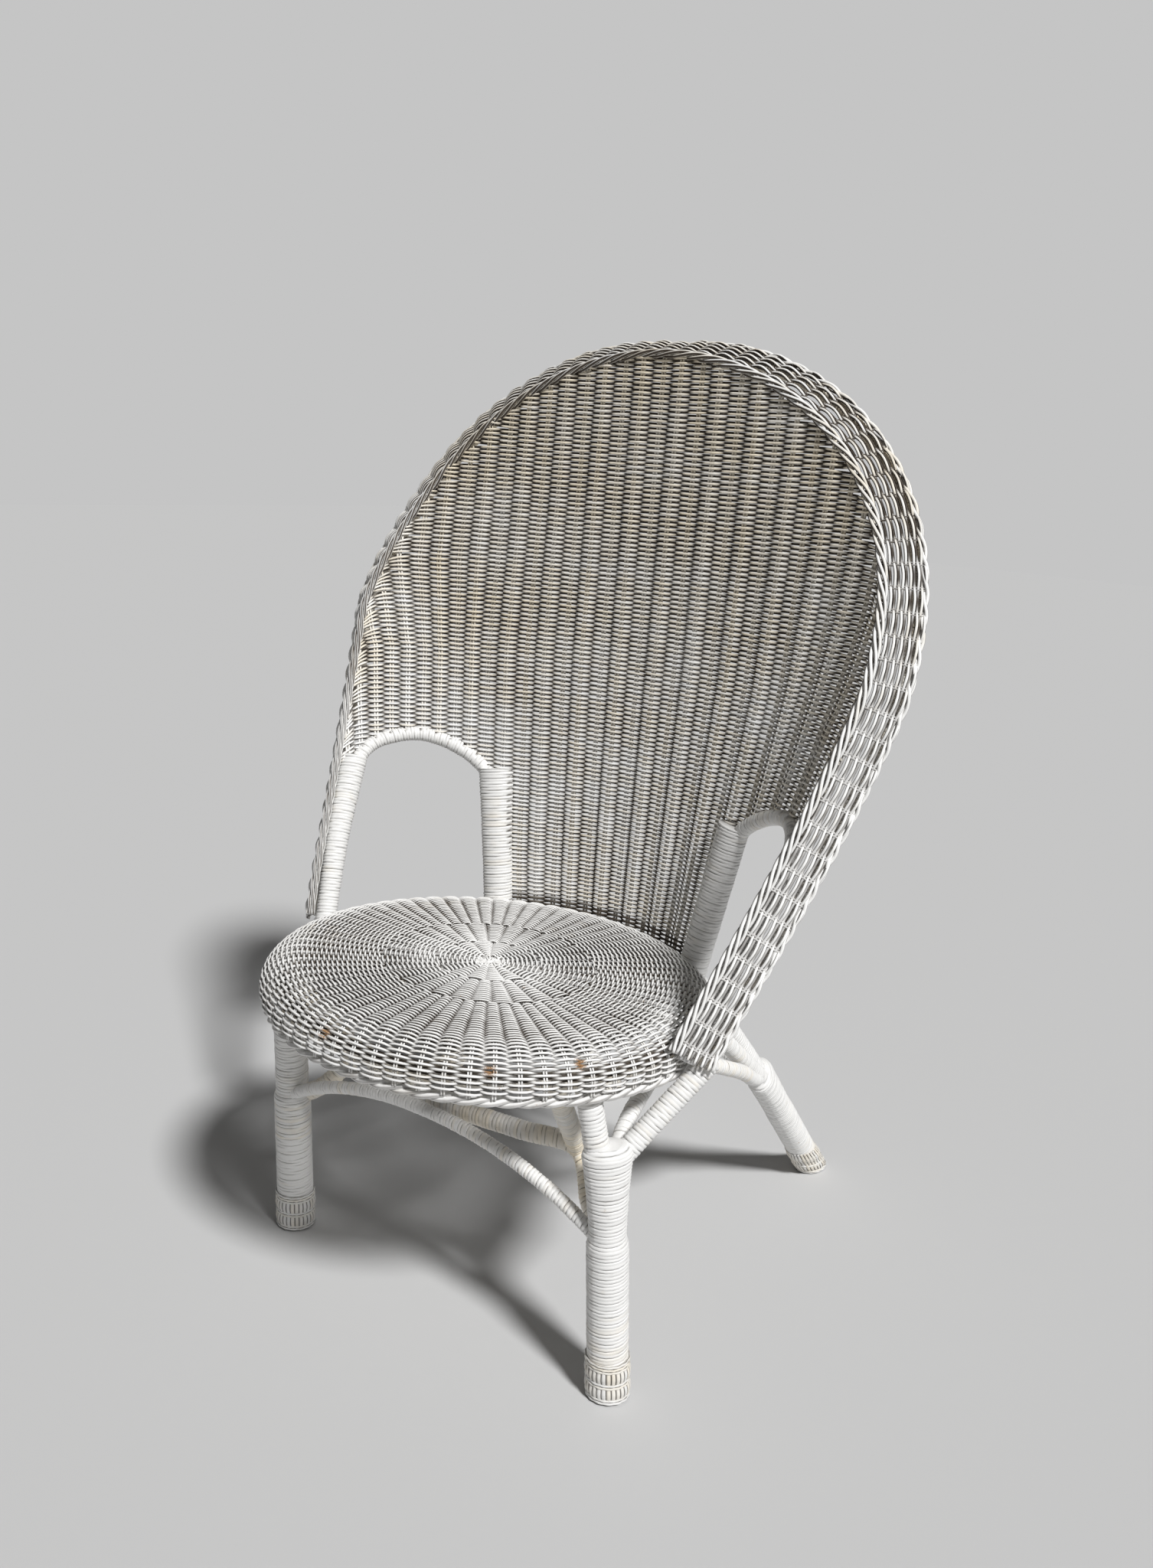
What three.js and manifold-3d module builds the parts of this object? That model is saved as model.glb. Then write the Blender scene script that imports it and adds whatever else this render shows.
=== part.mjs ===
// Balloon-back wicker armchair: a woven seat and a woven wrap-round back on a frame of bent, cane-wrapped poles.
// Millimetres, +Z up, +X to the right as seen from the front, +Y towards the back of the chair.
// The origin is under the middle of the chair's outer box, on the floor.

import * as THREE from 'three';
import { mergeVertices } from 'three/addons/utils/BufferGeometryUtils.js';
import Module from 'manifold-3d';

const wasm = await Module();
wasm.setup();

// Fit between pieces
const GAP = 0.3;

// Seat
const SEAT_HEIGHT = 392;
const SEAT_HALF_WIDTH = 256;
const SEAT_HALF_DEPTH = 234;
const SEAT_SKIN = 8;
const SEAT_EDGE_DROP = 42;
const SEAT_ROLL = 44;
const SEAT_HOOP_RADIUS = 9;
const BORDER_WIDTH = 12;
const BORDER_HEIGHT = 10;
const RAIL_RADIUS = 9;
const RAIL_OFFSET = 90;

// Back, as heights above the seat and half widths of the rim seen from the front
const BACK_RISE = 666;
const WIDEST_RISE = 345;
const RIM_END_DROP = 13;
const BACK_HALF_WIDTH = 346.6;
const RIM_END_HALF_WIDTH = 260.7;
const RIM_TAPER = 1.2;
const BACK_LEAN = 19;
const BACK_SETOFF = 6;
const BOTTOM_DEPTH = 277;
const TOP_DEPTH = 40;
const DEPTH_HOLLOW = 12;
const TOP_SPREAD = 12;
const WING_OPEN_LOW = 0.001;
const WING_OPEN_HIGH = 0.02;
const WEAVE_THICKNESS = 7;

// Rim
const BAND_WIDTH = 43;
const BAND_THICKNESS = 11;
const BAND_TURN_SIDE = 55;
const BAND_TURN_TOP = 17;
const EDGING_RADIUS = 4.2;
const RIM_HOOP_RADIUS = 7;

// Arms: angles are measured round the back from its middle, in degrees
const ARM_CROWN_RISE = 191;
const ARM_ARCH_RADIUS = 9;
const FRONT_POST_RADIUS = 14;
const FRONT_POST_SETBACK = 9;
const FRONT_POST_SET_IN = 1;
const REAR_POST_RADIUS = 17;
const REAR_POST_ANGLE = 34.4;
const REAR_POST_RISE = 156;

// Legs
const FRONT_FOOT_X = 237;
const FRONT_FOOT_Y = -61;
const FRONT_LEG_LEAN_X = -8;
const FRONT_LEG_LEAN_Y = -21;
const CROTCH_DROP = 110;
const BACK_FOOT_X = 174;
const BACK_FOOT_Y = 513;
const BACK_CROTCH_X = 178;
const BACK_CROTCH_Y = 322;
const BACK_CROTCH_DROP = 186;
const FRONT_LEG_RADIUS = 22;
const BACK_LEG_RADIUS = 19;
const FOOT_CAP_WALL = 2;
const FOOT_CAP_HEIGHT = 46;

// Struts and braces
const FRONT_STRUT_RADIUS = 13;
const ARM_STRUT_RADIUS = 12;
const INNER_STRUT_RADIUS = 11;
const BACK_POLE_RADIUS = 13;
const FORK_STRUT_RADIUS = 11;
const FRONT_ARCH_RADIUS = 7.5;
const INNER_ARCH_RADIUS = 10.5;
const SIDE_ARCH_RADIUS = 9;
const BACK_ARCH_RADIUS = 8;
const BACK_ARCH_BOW = 34;
const BACK_ARCH_RISE = 58;
const FRONT_ARCH_FOOT = 182;
const FRONT_ARCH_CROWN = 244;

// Flat cane wound round the lower legs and the rear arm posts
const CANE_THICKNESS = 2.2;
const CANE_TURN_GAP = 0.7;
const WINDING_STEPS = 10;
const FRONT_LEG_LOOPS = 18;
const FRONT_WINDING_LENGTH = 112;
const BACK_LEG_LOOPS = 12;
const BACK_WINDING_LENGTH = 78;
const POST_LOOPS = 12;
const POST_WINDING_LENGTH = 102;
const WINDING_END_GAP = 0.8;

// Heights that follow from the sizes above
const TOP_Z = SEAT_HEIGHT + BACK_RISE;
const WIDEST_Z = SEAT_HEIGHT + WIDEST_RISE;
const RIM_END_Z = SEAT_HEIGHT - RIM_END_DROP;
const SEAT_BOTTOM_Z = SEAT_HEIGHT - SEAT_EDGE_DROP;
const CROTCH_Z = SEAT_HEIGHT - CROTCH_DROP;
const BACK_CROTCH_Z = SEAT_HEIGHT - BACK_CROTCH_DROP;
const SEAT_SQUASH = SEAT_HALF_DEPTH / SEAT_HALF_WIDTH;

const PAINT = { color: 0xe7e3da, roughness: 0.55 };
const SHADED_PAINT = { color: 0xd2cbbd, roughness: 0.6 };
const WORN_PAINT = { color: 0xdcd4c2, roughness: 0.62 };

const point = (x, y, z) => new THREE.Vector3(x, y, z);
const radians = (degrees) => THREE.MathUtils.degToRad(degrees);
const mirrorPoint = (p) => point(-p.x, p.y, p.z);

// Solid helpers

function signedVolume(positions, index) {
  let sum = 0;
  for (let i = 0; i < index.length; i += 3) {
    const [a, b, c] = [index[i] * 3, index[i + 1] * 3, index[i + 2] * 3];
    sum += positions[a] * (positions[b + 1] * positions[c + 2] - positions[b + 2] * positions[c + 1])
      - positions[a + 1] * (positions[b] * positions[c + 2] - positions[b + 2] * positions[c])
      + positions[a + 2] * (positions[b] * positions[c + 1] - positions[b + 1] * positions[c]);
  }
  return sum / 6;
}

// One closed body: shared corners merged, folded triangles dropped, faces turned out.
function closed(geometry) {
  const bare = geometry.clone();
  for (const name of ['normal', 'uv']) {
    if (bare.getAttribute(name)) bare.deleteAttribute(name);
  }
  const merged = mergeVertices(bare, 1e-3);
  const positions = merged.getAttribute('position').array;
  const source = merged.getIndex().array;
  const index = [];
  for (let i = 0; i < source.length; i += 3) {
    const [a, b, c] = [source[i], source[i + 1], source[i + 2]];
    if (a !== b && b !== c && c !== a) index.push(a, b, c);
  }
  if (signedVolume(positions, index) < 0) {
    for (let i = 0; i < index.length; i += 3) [index[i + 1], index[i + 2]] = [index[i + 2], index[i + 1]];
  }
  const result = new THREE.BufferGeometry();
  result.setAttribute('position', new THREE.Float32BufferAttribute(positions, 3));
  result.setIndex(index);
  result.computeVertexNormals();
  return result;
}

function toManifold(geometry) {
  const body = closed(geometry);
  return new wasm.Manifold(new wasm.Mesh({
    numProp: 3,
    vertProperties: new Float32Array(body.getAttribute('position').array),
    triVerts: new Uint32Array(body.getIndex().array),
  }));
}

function fromManifold(manifold) {
  const mesh = manifold.getMesh();
  const geometry = new THREE.BufferGeometry();
  const stride = mesh.numProp;
  const corners = [];
  for (let i = 0; i < mesh.vertProperties.length; i += stride) {
    corners.push(mesh.vertProperties[i], mesh.vertProperties[i + 1], mesh.vertProperties[i + 2]);
  }
  geometry.setAttribute('position', new THREE.Float32BufferAttribute(corners, 3));
  geometry.setIndex(Array.from(mesh.triVerts));
  return closed(geometry);
}

// The piece with every cutter taken away; of what is left, the largest body.
function trimmed(geometry, cutters) {
  let body = toManifold(geometry);
  for (const cutter of cutters) body = body.subtract(toManifold(cutter));
  const bodies = body.decompose();
  bodies.sort((a, b) => b.volume() - a.volume());
  return fromManifold(bodies[0]);
}

function mirrored(geometry) {
  return closed(geometry.clone().scale(-1, 1, 1));
}

function circleShape(radius, sides) {
  const shape = new THREE.Shape();
  for (let i = 0; i < sides; i += 1) {
    const angle = (2 * Math.PI * (i + 0.5)) / sides;
    const [x, y] = [radius * Math.cos(angle), radius * Math.sin(angle)];
    if (i === 0) shape.moveTo(x, y);
    else shape.lineTo(x, y);
  }
  shape.closePath();
  return shape;
}

// A round pole along a smooth curve through the points.
function pole(points, radius, steps, sides = 8) {
  const path = points.length === 2
    ? new THREE.LineCurve3(points[0], points[1])
    : new THREE.CatmullRomCurve3(points, false, 'centripetal');
  return closed(new THREE.ExtrudeGeometry(circleShape(radius, sides), {
    steps: points.length === 2 ? 1 : steps,
    bevelEnabled: false,
    extrudePath: path,
  }));
}

// Like sections joined side by side into one closed body, with flat ends.
function loft(rings) {
  const corners = rings.flat().flatMap((p) => [p.x, p.y, p.z]);
  const count = rings[0].length;
  const index = [];
  for (let r = 0; r + 1 < rings.length; r += 1) {
    for (let i = 0; i < count; i += 1) {
      const next = (i + 1) % count;
      const [a, b, c, d] = [r * count + i, r * count + next, (r + 1) * count + i, (r + 1) * count + next];
      index.push(a, b, d, a, d, c);
    }
  }
  const last = (rings.length - 1) * count;
  for (let i = 1; i + 1 < count; i += 1) {
    index.push(0, i + 1, i);
    index.push(last, last + i, last + i + 1);
  }
  const geometry = new THREE.BufferGeometry();
  geometry.setAttribute('position', new THREE.Float32BufferAttribute(corners, 3));
  geometry.setIndex(index);
  return closed(geometry);
}

// A profile of [radius, height] turned about Z.
function turned(profile, segments) {
  const outline = profile.map(([r, z]) => new THREE.Vector2(r, z));
  const geometry = new THREE.LatheGeometry(outline, segments);
  geometry.rotateX(Math.PI / 2);
  return closed(geometry);
}

function squashed(geometry) {
  return closed(geometry.clone().scale(1, SEAT_SQUASH, 1));
}

// Shape of the back: at each height an ellipse about the sitter, cut off at the rim

function rimHalfWidth(z) {
  if (z >= WIDEST_Z) {
    const t = (z - WIDEST_Z) / (TOP_Z - WIDEST_Z);
    return BACK_HALF_WIDTH * Math.sqrt(Math.max(0, 1 - t * t));
  }
  const t = (WIDEST_Z - z) / (WIDEST_Z - RIM_END_Z);
  return BACK_HALF_WIDTH - (BACK_HALF_WIDTH - RIM_END_HALF_WIDTH) * Math.pow(t, RIM_TAPER);
}

function sideAxis(z) {
  if (z >= WIDEST_Z) {
    const t = (z - WIDEST_Z) / (TOP_Z - WIDEST_Z);
    return BACK_HALF_WIDTH * (1 + WING_OPEN_LOW + WING_OPEN_HIGH) + TOP_SPREAD * t;
  }
  const t = Math.max(0, (z - RIM_END_Z) / (WIDEST_Z - RIM_END_Z));
  return rimHalfWidth(z) * (1 + WING_OPEN_LOW + WING_OPEN_HIGH * t * t);
}

function depthAxis(z) {
  const t = (z - RIM_END_Z) / (TOP_Z - RIM_END_Z);
  return BOTTOM_DEPTH + (TOP_DEPTH - BOTTOM_DEPTH) * t - DEPTH_HOLLOW * Math.sin(Math.PI * t);
}

function backY(z) {
  return SEAT_HALF_DEPTH + BACK_SETOFF + (BACK_LEAN * (z - SEAT_HEIGHT)) / BACK_RISE;
}

function onBack(angle, z, offset = 0) {
  const a = sideAxis(z);
  const b = depthAxis(z);
  const normal = new THREE.Vector2(b * Math.sin(angle), a * Math.cos(angle)).normalize();
  return point(
    a * Math.sin(angle) + offset * normal.x,
    backY(z) - b * (1 - Math.cos(angle)) + offset * normal.y,
    z,
  );
}

function rimAngle(z) {
  return Math.asin(Math.min(1, rimHalfWidth(z) / sideAxis(z)));
}

// Rim stations from the right end over the top to the left end, each with its band directions:
// across points from the inner edge of the band to its outer edge, face points out of the band.
const LOWER_STEPS = 7;
const DOME_STEPS = 9;

function rimStations() {
  const half = [];
  for (let i = 0; i < LOWER_STEPS; i += 1) {
    const z = RIM_END_Z + ((WIDEST_Z - RIM_END_Z) * i) / LOWER_STEPS;
    half.push(onBack(rimAngle(z), z));
  }
  for (let i = 0; i <= DOME_STEPS; i += 1) {
    const turn = (Math.PI / 2) * (i / DOME_STEPS);
    const z = WIDEST_Z + (TOP_Z - WIDEST_Z) * Math.sin(turn);
    const angle = Math.asin((BACK_HALF_WIDTH * Math.cos(turn)) / sideAxis(z));
    half.push(onBack(angle, z));
  }
  const line = [...half, ...half.slice(0, -1).reverse().map(mirrorPoint)];
  return line.map((p, i) => {
    const before = line[Math.max(0, i - 1)];
    const after = line[Math.min(line.length - 1, i + 1)];
    const along = after.clone().sub(before).normalize();
    const share = p.z > WIDEST_Z ? Math.abs(p.x) / BACK_HALF_WIDTH : 1;
    const turn = radians(BAND_TURN_TOP + (BAND_TURN_SIDE - BAND_TURN_TOP) * share);
    const outward = point(along.z, 0, -along.x).normalize();
    const face = outward.multiplyScalar(Math.cos(turn)).add(point(0, -Math.sin(turn), 0));
    face.addScaledVector(along, -face.dot(along)).normalize();
    const across = along.clone().cross(face).normalize();
    return { p, along, across, face };
  });
}

const RIM = rimStations();

function beside(station, across, face) {
  return station.p.clone().addScaledVector(station.across, across).addScaledVector(station.face, face);
}

// Pieces

const chair = new THREE.Group();

function add(name, geometry, paint = PAINT, placement = null) {
  const material = new THREE.MeshStandardMaterial({
    color: paint.color, roughness: paint.roughness, metalness: 0,
  });
  const mesh = new THREE.Mesh(geometry, material);
  mesh.name = name;
  if (placement) {
    mesh.position.copy(placement.position);
    mesh.quaternion.copy(placement.quaternion);
  }
  chair.add(mesh);
}

// A placement that stands a piece made along +Z on a point, along an axis.
function standing(foot, head) {
  const axis = head.clone().sub(foot).normalize();
  return {
    position: foot.clone(),
    quaternion: new THREE.Quaternion().setFromUnitVectors(point(0, 0, 1), axis),
  };
}

function bothSides(name, geometry, paint = PAINT) {
  add(`${name}_right`, geometry, paint);
  add(`${name}_left`, mirrored(geometry), paint);
}

// Seat: woven top with a rolled edge, hollow under it

const SEAT_SEGMENTS = 32;

function seatProfile(grow) {
  const r = SEAT_HALF_WIDTH + grow;
  const top = SEAT_HEIGHT + grow;
  const low = SEAT_BOTTOM_Z - grow;
  const skin = SEAT_SKIN + 2 * grow;
  const roll = SEAT_ROLL;
  return [
    [0, top],
    [r - roll, top],
    [r - roll * 0.5, top - roll * 0.1],
    [r - roll * 0.18, top - roll * 0.32],
    [r, top - roll * 0.68],
    [r, low],
    [r - skin, low],
    [r - skin, top - roll * 0.68],
    [r - skin - roll * 0.16, top - roll * 0.32 - skin * 0.6],
    [r - roll * 0.5 - skin * 0.4, top - roll * 0.1 - skin],
    [r - roll - skin * 0.2, top - skin],
    [0, top - skin],
  ];
}

const seatHoopWidth = SEAT_HALF_WIDTH - SEAT_SKIN - GAP * 4 - SEAT_HOOP_RADIUS - 5;
const seatHoopZ = SEAT_BOTTOM_Z + SEAT_HOOP_RADIUS;

function ringProfile(radius, z, halfWidth, halfHeight, corners) {
  const outline = [];
  for (let i = 0; i <= corners; i += 1) {
    const angle = (2 * Math.PI * (i + 0.5)) / corners;
    outline.push([radius + halfWidth * Math.cos(angle), z + halfHeight * Math.sin(angle)]);
  }
  return outline;
}

function seatHoop(grow) {
  const r = SEAT_HOOP_RADIUS + grow;
  return squashed(turned(ringProfile(seatHoopWidth, seatHoopZ, r, r, 8), SEAT_SEGMENTS));
}

function seatBorder(grow) {
  const radius = SEAT_HALF_WIDTH - BORDER_WIDTH / 2;
  const z = SEAT_BOTTOM_Z - GAP - BORDER_HEIGHT / 2;
  const stretch = 1 / Math.cos(Math.PI / 6);
  return squashed(turned(
    ringProfile(radius, z, BORDER_WIDTH / 2 + grow, (BORDER_HEIGHT / 2 + grow) * stretch * 0.86, 6),
    SEAT_SEGMENTS,
  ));
}

const seatBody = (grow) => squashed(turned(seatProfile(grow), SEAT_SEGMENTS));

function hoopPoint(degrees, z = seatHoopZ) {
  const angle = radians(degrees);
  return point(seatHoopWidth * Math.cos(angle), seatHoopWidth * SEAT_SQUASH * Math.sin(angle), z);
}

add('seat_weave', seatBody(0));
add('seat_border_braid', seatBorder(0));
add('seat_hoop', seatHoop(0), SHADED_PAINT);

const railReach = seatHoopWidth * SEAT_SQUASH * Math.sqrt(1 - (RAIL_OFFSET / seatHoopWidth) ** 2);
const seatRail = trimmed(
  pole([point(RAIL_OFFSET, -railReach, seatHoopZ), point(RAIL_OFFSET, railReach, seatHoopZ)], RAIL_RADIUS, 1),
  [seatHoop(GAP)],
);
bothSides('seat_rail', seatRail, SHADED_PAINT);

// Lower legs, foot caps and windings

const frontFoot = point(FRONT_FOOT_X, FRONT_FOOT_Y, 0);
const frontCrotch = point(FRONT_FOOT_X + FRONT_LEG_LEAN_X, FRONT_FOOT_Y + FRONT_LEG_LEAN_Y, CROTCH_Z);
const backFoot = point(BACK_FOOT_X, BACK_FOOT_Y, 0);
const backCrotch = point(BACK_CROTCH_X, BACK_CROTCH_Y, BACK_CROTCH_Z);

// A pole turned about its own axis with a thinner waist that the winding fills.
const POLE_SIDES = 12;

// A winding stays inside the flats of the pole it is wound on.
function windingRadius(poleRadius) {
  return poleRadius * Math.cos(Math.PI / POLE_SIDES);
}

function spool(from, to, radius, waistFrom, waistTo) {
  const waist = (windingRadius(radius) - CANE_THICKNESS) * Math.cos(Math.PI / WINDING_STEPS) - GAP;
  return turned([
    [0, from], [radius, from], [radius, waistFrom], [waist, waistFrom],
    [waist, waistTo], [radius, waistTo], [radius, to], [0, to],
  ], POLE_SIDES);
}

// One unbroken flat cane wound about Z; its ends leave straight for one cane width.
function winding(name, poleRadius, start, length, loops, firstAngle = 0) {
  const outerRadius = windingRadius(poleRadius);
  const pitch = length / loops;
  const width = pitch - CANE_TURN_GAP;
  const inner = outerRadius - CANE_THICKNESS;
  const rings = [];
  const section = (turn, height, shift) => {
    const angle = firstAngle + turn;
    const out = point(Math.cos(angle), Math.sin(angle), 0);
    const side = point(-Math.sin(angle), Math.cos(angle), 0);
    return [[inner, -width / 2], [outerRadius, -width / 2], [outerRadius, width / 2], [inner, width / 2]]
      .map(([r, h]) => out.clone().multiplyScalar(r).addScaledVector(side, shift).setZ(height + h));
  };
  const count = loops * WINDING_STEPS;
  rings.push(section(0, start, -width));
  for (let i = 0; i <= count; i += 1) {
    rings.push(section((2 * Math.PI * i) / WINDING_STEPS, start + (pitch * i) / WINDING_STEPS, 0));
  }
  rings.push(section((2 * Math.PI * count) / WINDING_STEPS, start + length, width));
  let least = Infinity;
  for (let i = 0; i < rings.length; i += 1) {
    for (let j = i + WINDING_STEPS - 2; j < Math.min(rings.length, i + WINDING_STEPS + 3); j += 1) {
      for (const a of [rings[i][2], rings[i][3]]) {
        for (const b of [rings[j][0], rings[j][1]]) least = Math.min(least, a.distanceTo(b));
      }
    }
  }
  console.log(`${name}: ${loops} loops, least gap between turns ${least.toFixed(2)} mm`);
  return loft(rings);
}

const floorBlock = new THREE.BoxGeometry(4000, 4000, 400).translate(0, 0, -200);

function legSet(prefix, foot, crotch, radius, loops, windingLength) {
  const length = crotch.distanceTo(foot);
  const axis = crotch.clone().sub(foot).normalize();
  const capTop = FOOT_CAP_HEIGHT;
  const windingStart = capTop + GAP + WINDING_END_GAP + windingLength / loops;
  const waistFrom = capTop + GAP * 3;
  const waistTo = windingStart + windingLength + windingLength / loops;
  const leg = spool(capTop + GAP, length, radius, waistFrom, waistTo);
  const coil = winding(`${prefix}_winding`, radius, windingStart, windingLength, loops);
  const capFrom = foot.clone().addScaledVector(axis, -2 * radius);
  const capTo = foot.clone().addScaledVector(axis, capTop);
  const cap = trimmed(pole([capFrom, capTo], radius + FOOT_CAP_WALL, 1, 12), [floorBlock]);
  for (const [side, a, b] of [['right', foot, crotch], ['left', mirrorPoint(foot), mirrorPoint(crotch)]]) {
    add(`${prefix}_${side}`, leg.clone(), PAINT, standing(a, b));
    add(`${prefix}_winding_${side}`, coil.clone(), PAINT, standing(a, b));
  }
  bothSides(`${prefix}_foot_cap`, cap, WORN_PAINT);
}

legSet('front_leg', frontFoot, frontCrotch, FRONT_LEG_RADIUS, FRONT_LEG_LOOPS, FRONT_WINDING_LENGTH);
legSet('back_leg', backFoot, backCrotch, BACK_LEG_RADIUS, BACK_LEG_LOOPS, BACK_WINDING_LENGTH);

// The space that a turned pole takes up, with the gap all round and at its head
function poleRoom(foot, head, radius) {
  const place = standing(foot, head);
  const length = head.distanceTo(foot) + GAP;
  const reach = radius + GAP;
  const room = turned([[0, 0], [reach, 0], [reach, length], [0, length]], POLE_SIDES);
  return room.applyQuaternion(place.quaternion).translate(...place.position.toArray());
}

const frontLegRoom = poleRoom(frontFoot, frontCrotch, FRONT_LEG_RADIUS);
const backLegRoom = poleRoom(backFoot, backCrotch, BACK_LEG_RADIUS);

// A point on a leg's axis at a height
function onAxis(foot, head, z) {
  return foot.clone().lerp(head, (z - foot.z) / (head.z - foot.z));
}

// Rear arm posts, from beside the seat edge up into the woven back

const rearPostFoot = onBack(radians(REAR_POST_ANGLE), SEAT_BOTTOM_Z);
const rearPostHead = onBack(radians(REAR_POST_ANGLE), SEAT_HEIGHT + REAR_POST_RISE);
const rearPostLength = rearPostHead.distanceTo(rearPostFoot);
const postWindingStart = SEAT_EDGE_DROP + GAP * 4 + POST_WINDING_LENGTH / POST_LOOPS;
const postWaistTo = postWindingStart + POST_WINDING_LENGTH + POST_WINDING_LENGTH / POST_LOOPS;
const rearPostPlace = standing(rearPostFoot, rearPostHead);
const rearPostSpool = spool(0, rearPostLength, REAR_POST_RADIUS, SEAT_EDGE_DROP + GAP, postWaistTo);
rearPostSpool.applyQuaternion(rearPostPlace.quaternion).translate(...rearPostPlace.position.toArray());
const rearPost = trimmed(rearPostSpool, [seatBody(GAP), seatBorder(GAP)]);
bothSides('arm_rear_post', rearPost);
const behindPost = Math.PI / 2 - radians(REAR_POST_ANGLE);
for (const [side, angle, a, b] of [
  ['right', behindPost, rearPostFoot, rearPostHead],
  ['left', Math.PI - behindPost, mirrorPoint(rearPostFoot), mirrorPoint(rearPostHead)],
]) {
  const name = `arm_rear_post_winding_${side}`;
  const coil = winding(name, REAR_POST_RADIUS, postWindingStart, POST_WINDING_LENGTH, POST_LOOPS, angle);
  add(name, coil, PAINT, standing(a, b));
}
const rearPostRoom = poleRoom(rearPostFoot, rearPostHead, REAR_POST_RADIUS);

// Front arm posts and arm arches follow the woven surface round the arm opening

const crownZ = SEAT_HEIGHT + ARM_CROWN_RISE;
const postInset = FRONT_POST_RADIUS + FRONT_POST_SETBACK;
const frontPostAngle = (z) => rimAngle(z) - postInset / depthAxis(z);
const frontPostTopZ = crownZ - 27;
const frontPostPoint = (z) => onBack(frontPostAngle(z), z, -FRONT_POST_SET_IN);
const frontPostLine = [
  frontPostPoint(RIM_END_Z).setZ(SEAT_BOTTOM_Z + SEAT_EDGE_DROP * 0.3),
  frontPostPoint(RIM_END_Z + 80),
  frontPostPoint(crownZ - 60),
  frontPostPoint(frontPostTopZ),
];
const archFrontAngle = frontPostAngle(frontPostTopZ - 14);
const archRearAngle = radians(REAR_POST_ANGLE);
const archShare = (share, drop) => onBack(
  archRearAngle + (archFrontAngle - archRearAngle) * share, crownZ - drop,
);
const armArchLine = [
  archShare(1, 45),
  archShare(0.93, 25),
  archShare(0.8, 9),
  archShare(0.55, 0),
  archShare(0.35, 5),
  archShare(0.17, 21),
  archShare(0.05, 43),
  archShare(0, 62),
];
const frontPostBody = (grow) => pole(frontPostLine, FRONT_POST_RADIUS + grow, 6, 10);
const armArchBody = (grow) => pole(armArchLine, ARM_ARCH_RADIUS + grow, 14, 8);

// Arm struts carry the ends of the rim on the front legs

const rimEnd = RIM[0];
const hoopAcross = BAND_WIDTH - RIM_HOOP_RADIUS + 1;
const hoopFace = -(BAND_THICKNESS / 2 + GAP + RIM_HOOP_RADIUS);
const rimHoopEnd = beside(rimEnd, hoopAcross, hoopFace);
const armStrutHead = rimHoopEnd.clone().add(point(-6, -4, -14));
const armStrutFoot = frontCrotch.clone().add(point(4, 8, -14));
const armStrutBody = (grow) => pole([armStrutFoot, armStrutHead], ARM_STRUT_RADIUS + grow, 1, 10);
const armStrut = trimmed(armStrutBody(0), [frontLegRoom, seatBody(GAP), seatBorder(GAP)]);
bothSides('arm_strut', armStrut);

// Rim hoop, band and edging

// A round section at each station, set off across and out of the band
function rimRings(across, face, radius, sides) {
  return RIM.map((station) => {
    const ring = [];
    for (let i = 0; i < sides; i += 1) {
      const angle = (2 * Math.PI * (i + 0.5)) / sides;
      ring.push(beside(station, across + radius * Math.cos(angle), face + radius * Math.sin(angle)));
    }
    return ring;
  });
}

function rimHoopBody(grow) {
  const rings = rimRings(hoopAcross, hoopFace, RIM_HOOP_RADIUS + grow, 8);
  const drop = armStrutHead.clone().sub(rimHoopEnd);
  const start = rings[0].map((p) => p.clone().add(drop));
  const finish = rings[rings.length - 1].map((p) => p.clone().add(mirrorPoint(drop)));
  return loft([start, ...rings, finish]);
}
const rimHoop = trimmed(rimHoopBody(0), [armStrutBody(GAP), mirrored(armStrutBody(GAP))]);
add('rim_hoop', rimHoop, SHADED_PAINT);

const edgingBody = (grow) => loft(rimRings(-EDGING_RADIUS * 0.43, 0, EDGING_RADIUS + grow, 6));
add('rim_edging', edgingBody(0));

const bandInner = EDGING_RADIUS * 0.57 + GAP * 3;
const bandHalf = BAND_THICKNESS / 2;
function bandBody(grow) {
  const [near, far, low, high] = [bandInner - grow, BAND_WIDTH + grow, -bandHalf - grow, bandHalf + grow];
  const section = [
    [near, low], [far - 2, low], [far, 0], [far - 4, high * 0.8],
    [BAND_WIDTH * 0.55, high * 1.2], [near + 5, high], [near, high * 0.2],
  ];
  return loft(RIM.map((station) => section.map(([b, n]) => beside(station, b, n))));
}
add('rim_band', bandBody(0));

const frontPost = trimmed(frontPostBody(0), [
  seatBody(GAP), seatBorder(GAP), edgingBody(GAP), bandBody(GAP), rimHoopBody(GAP), armStrutBody(GAP),
]);
bothSides('arm_front_post', frontPost);
const armArch = trimmed(armArchBody(0), [frontPostBody(GAP), rearPostRoom]);
bothSides('arm_arch', armArch);

// Woven back: a shell out to the rim, open under the arm arches

const SHELL_COLUMNS = 14;

function shellRow(z, limit, offset) {
  const row = [];
  for (let i = 0; i <= SHELL_COLUMNS; i += 1) row.push(onBack(limit * ((2 * i) / SHELL_COLUMNS - 1), z, offset));
  return row;
}

function backShell() {
  const heights = [];
  const bottom = SEAT_BOTTOM_Z + 2;
  for (let i = 0; i < LOWER_STEPS; i += 1) heights.push(bottom + ((WIDEST_Z - bottom) * i) / LOWER_STEPS);
  for (let i = 0; i < DOME_STEPS; i += 1) {
    const turn = (Math.PI / 2) * ((i + (i === DOME_STEPS - 1 ? 0.5 : 0)) / DOME_STEPS);
    heights.push(WIDEST_Z + (TOP_Z - WIDEST_Z) * Math.sin(turn));
  }
  return loft(heights.map((z) => {
    const limit = rimAngle(z);
    const inner = shellRow(z, limit, -WEAVE_THICKNESS / 2);
    const outer = shellRow(z, limit, WEAVE_THICKNESS / 2);
    return [...inner, ...outer.reverse()];
  }));
}

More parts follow.
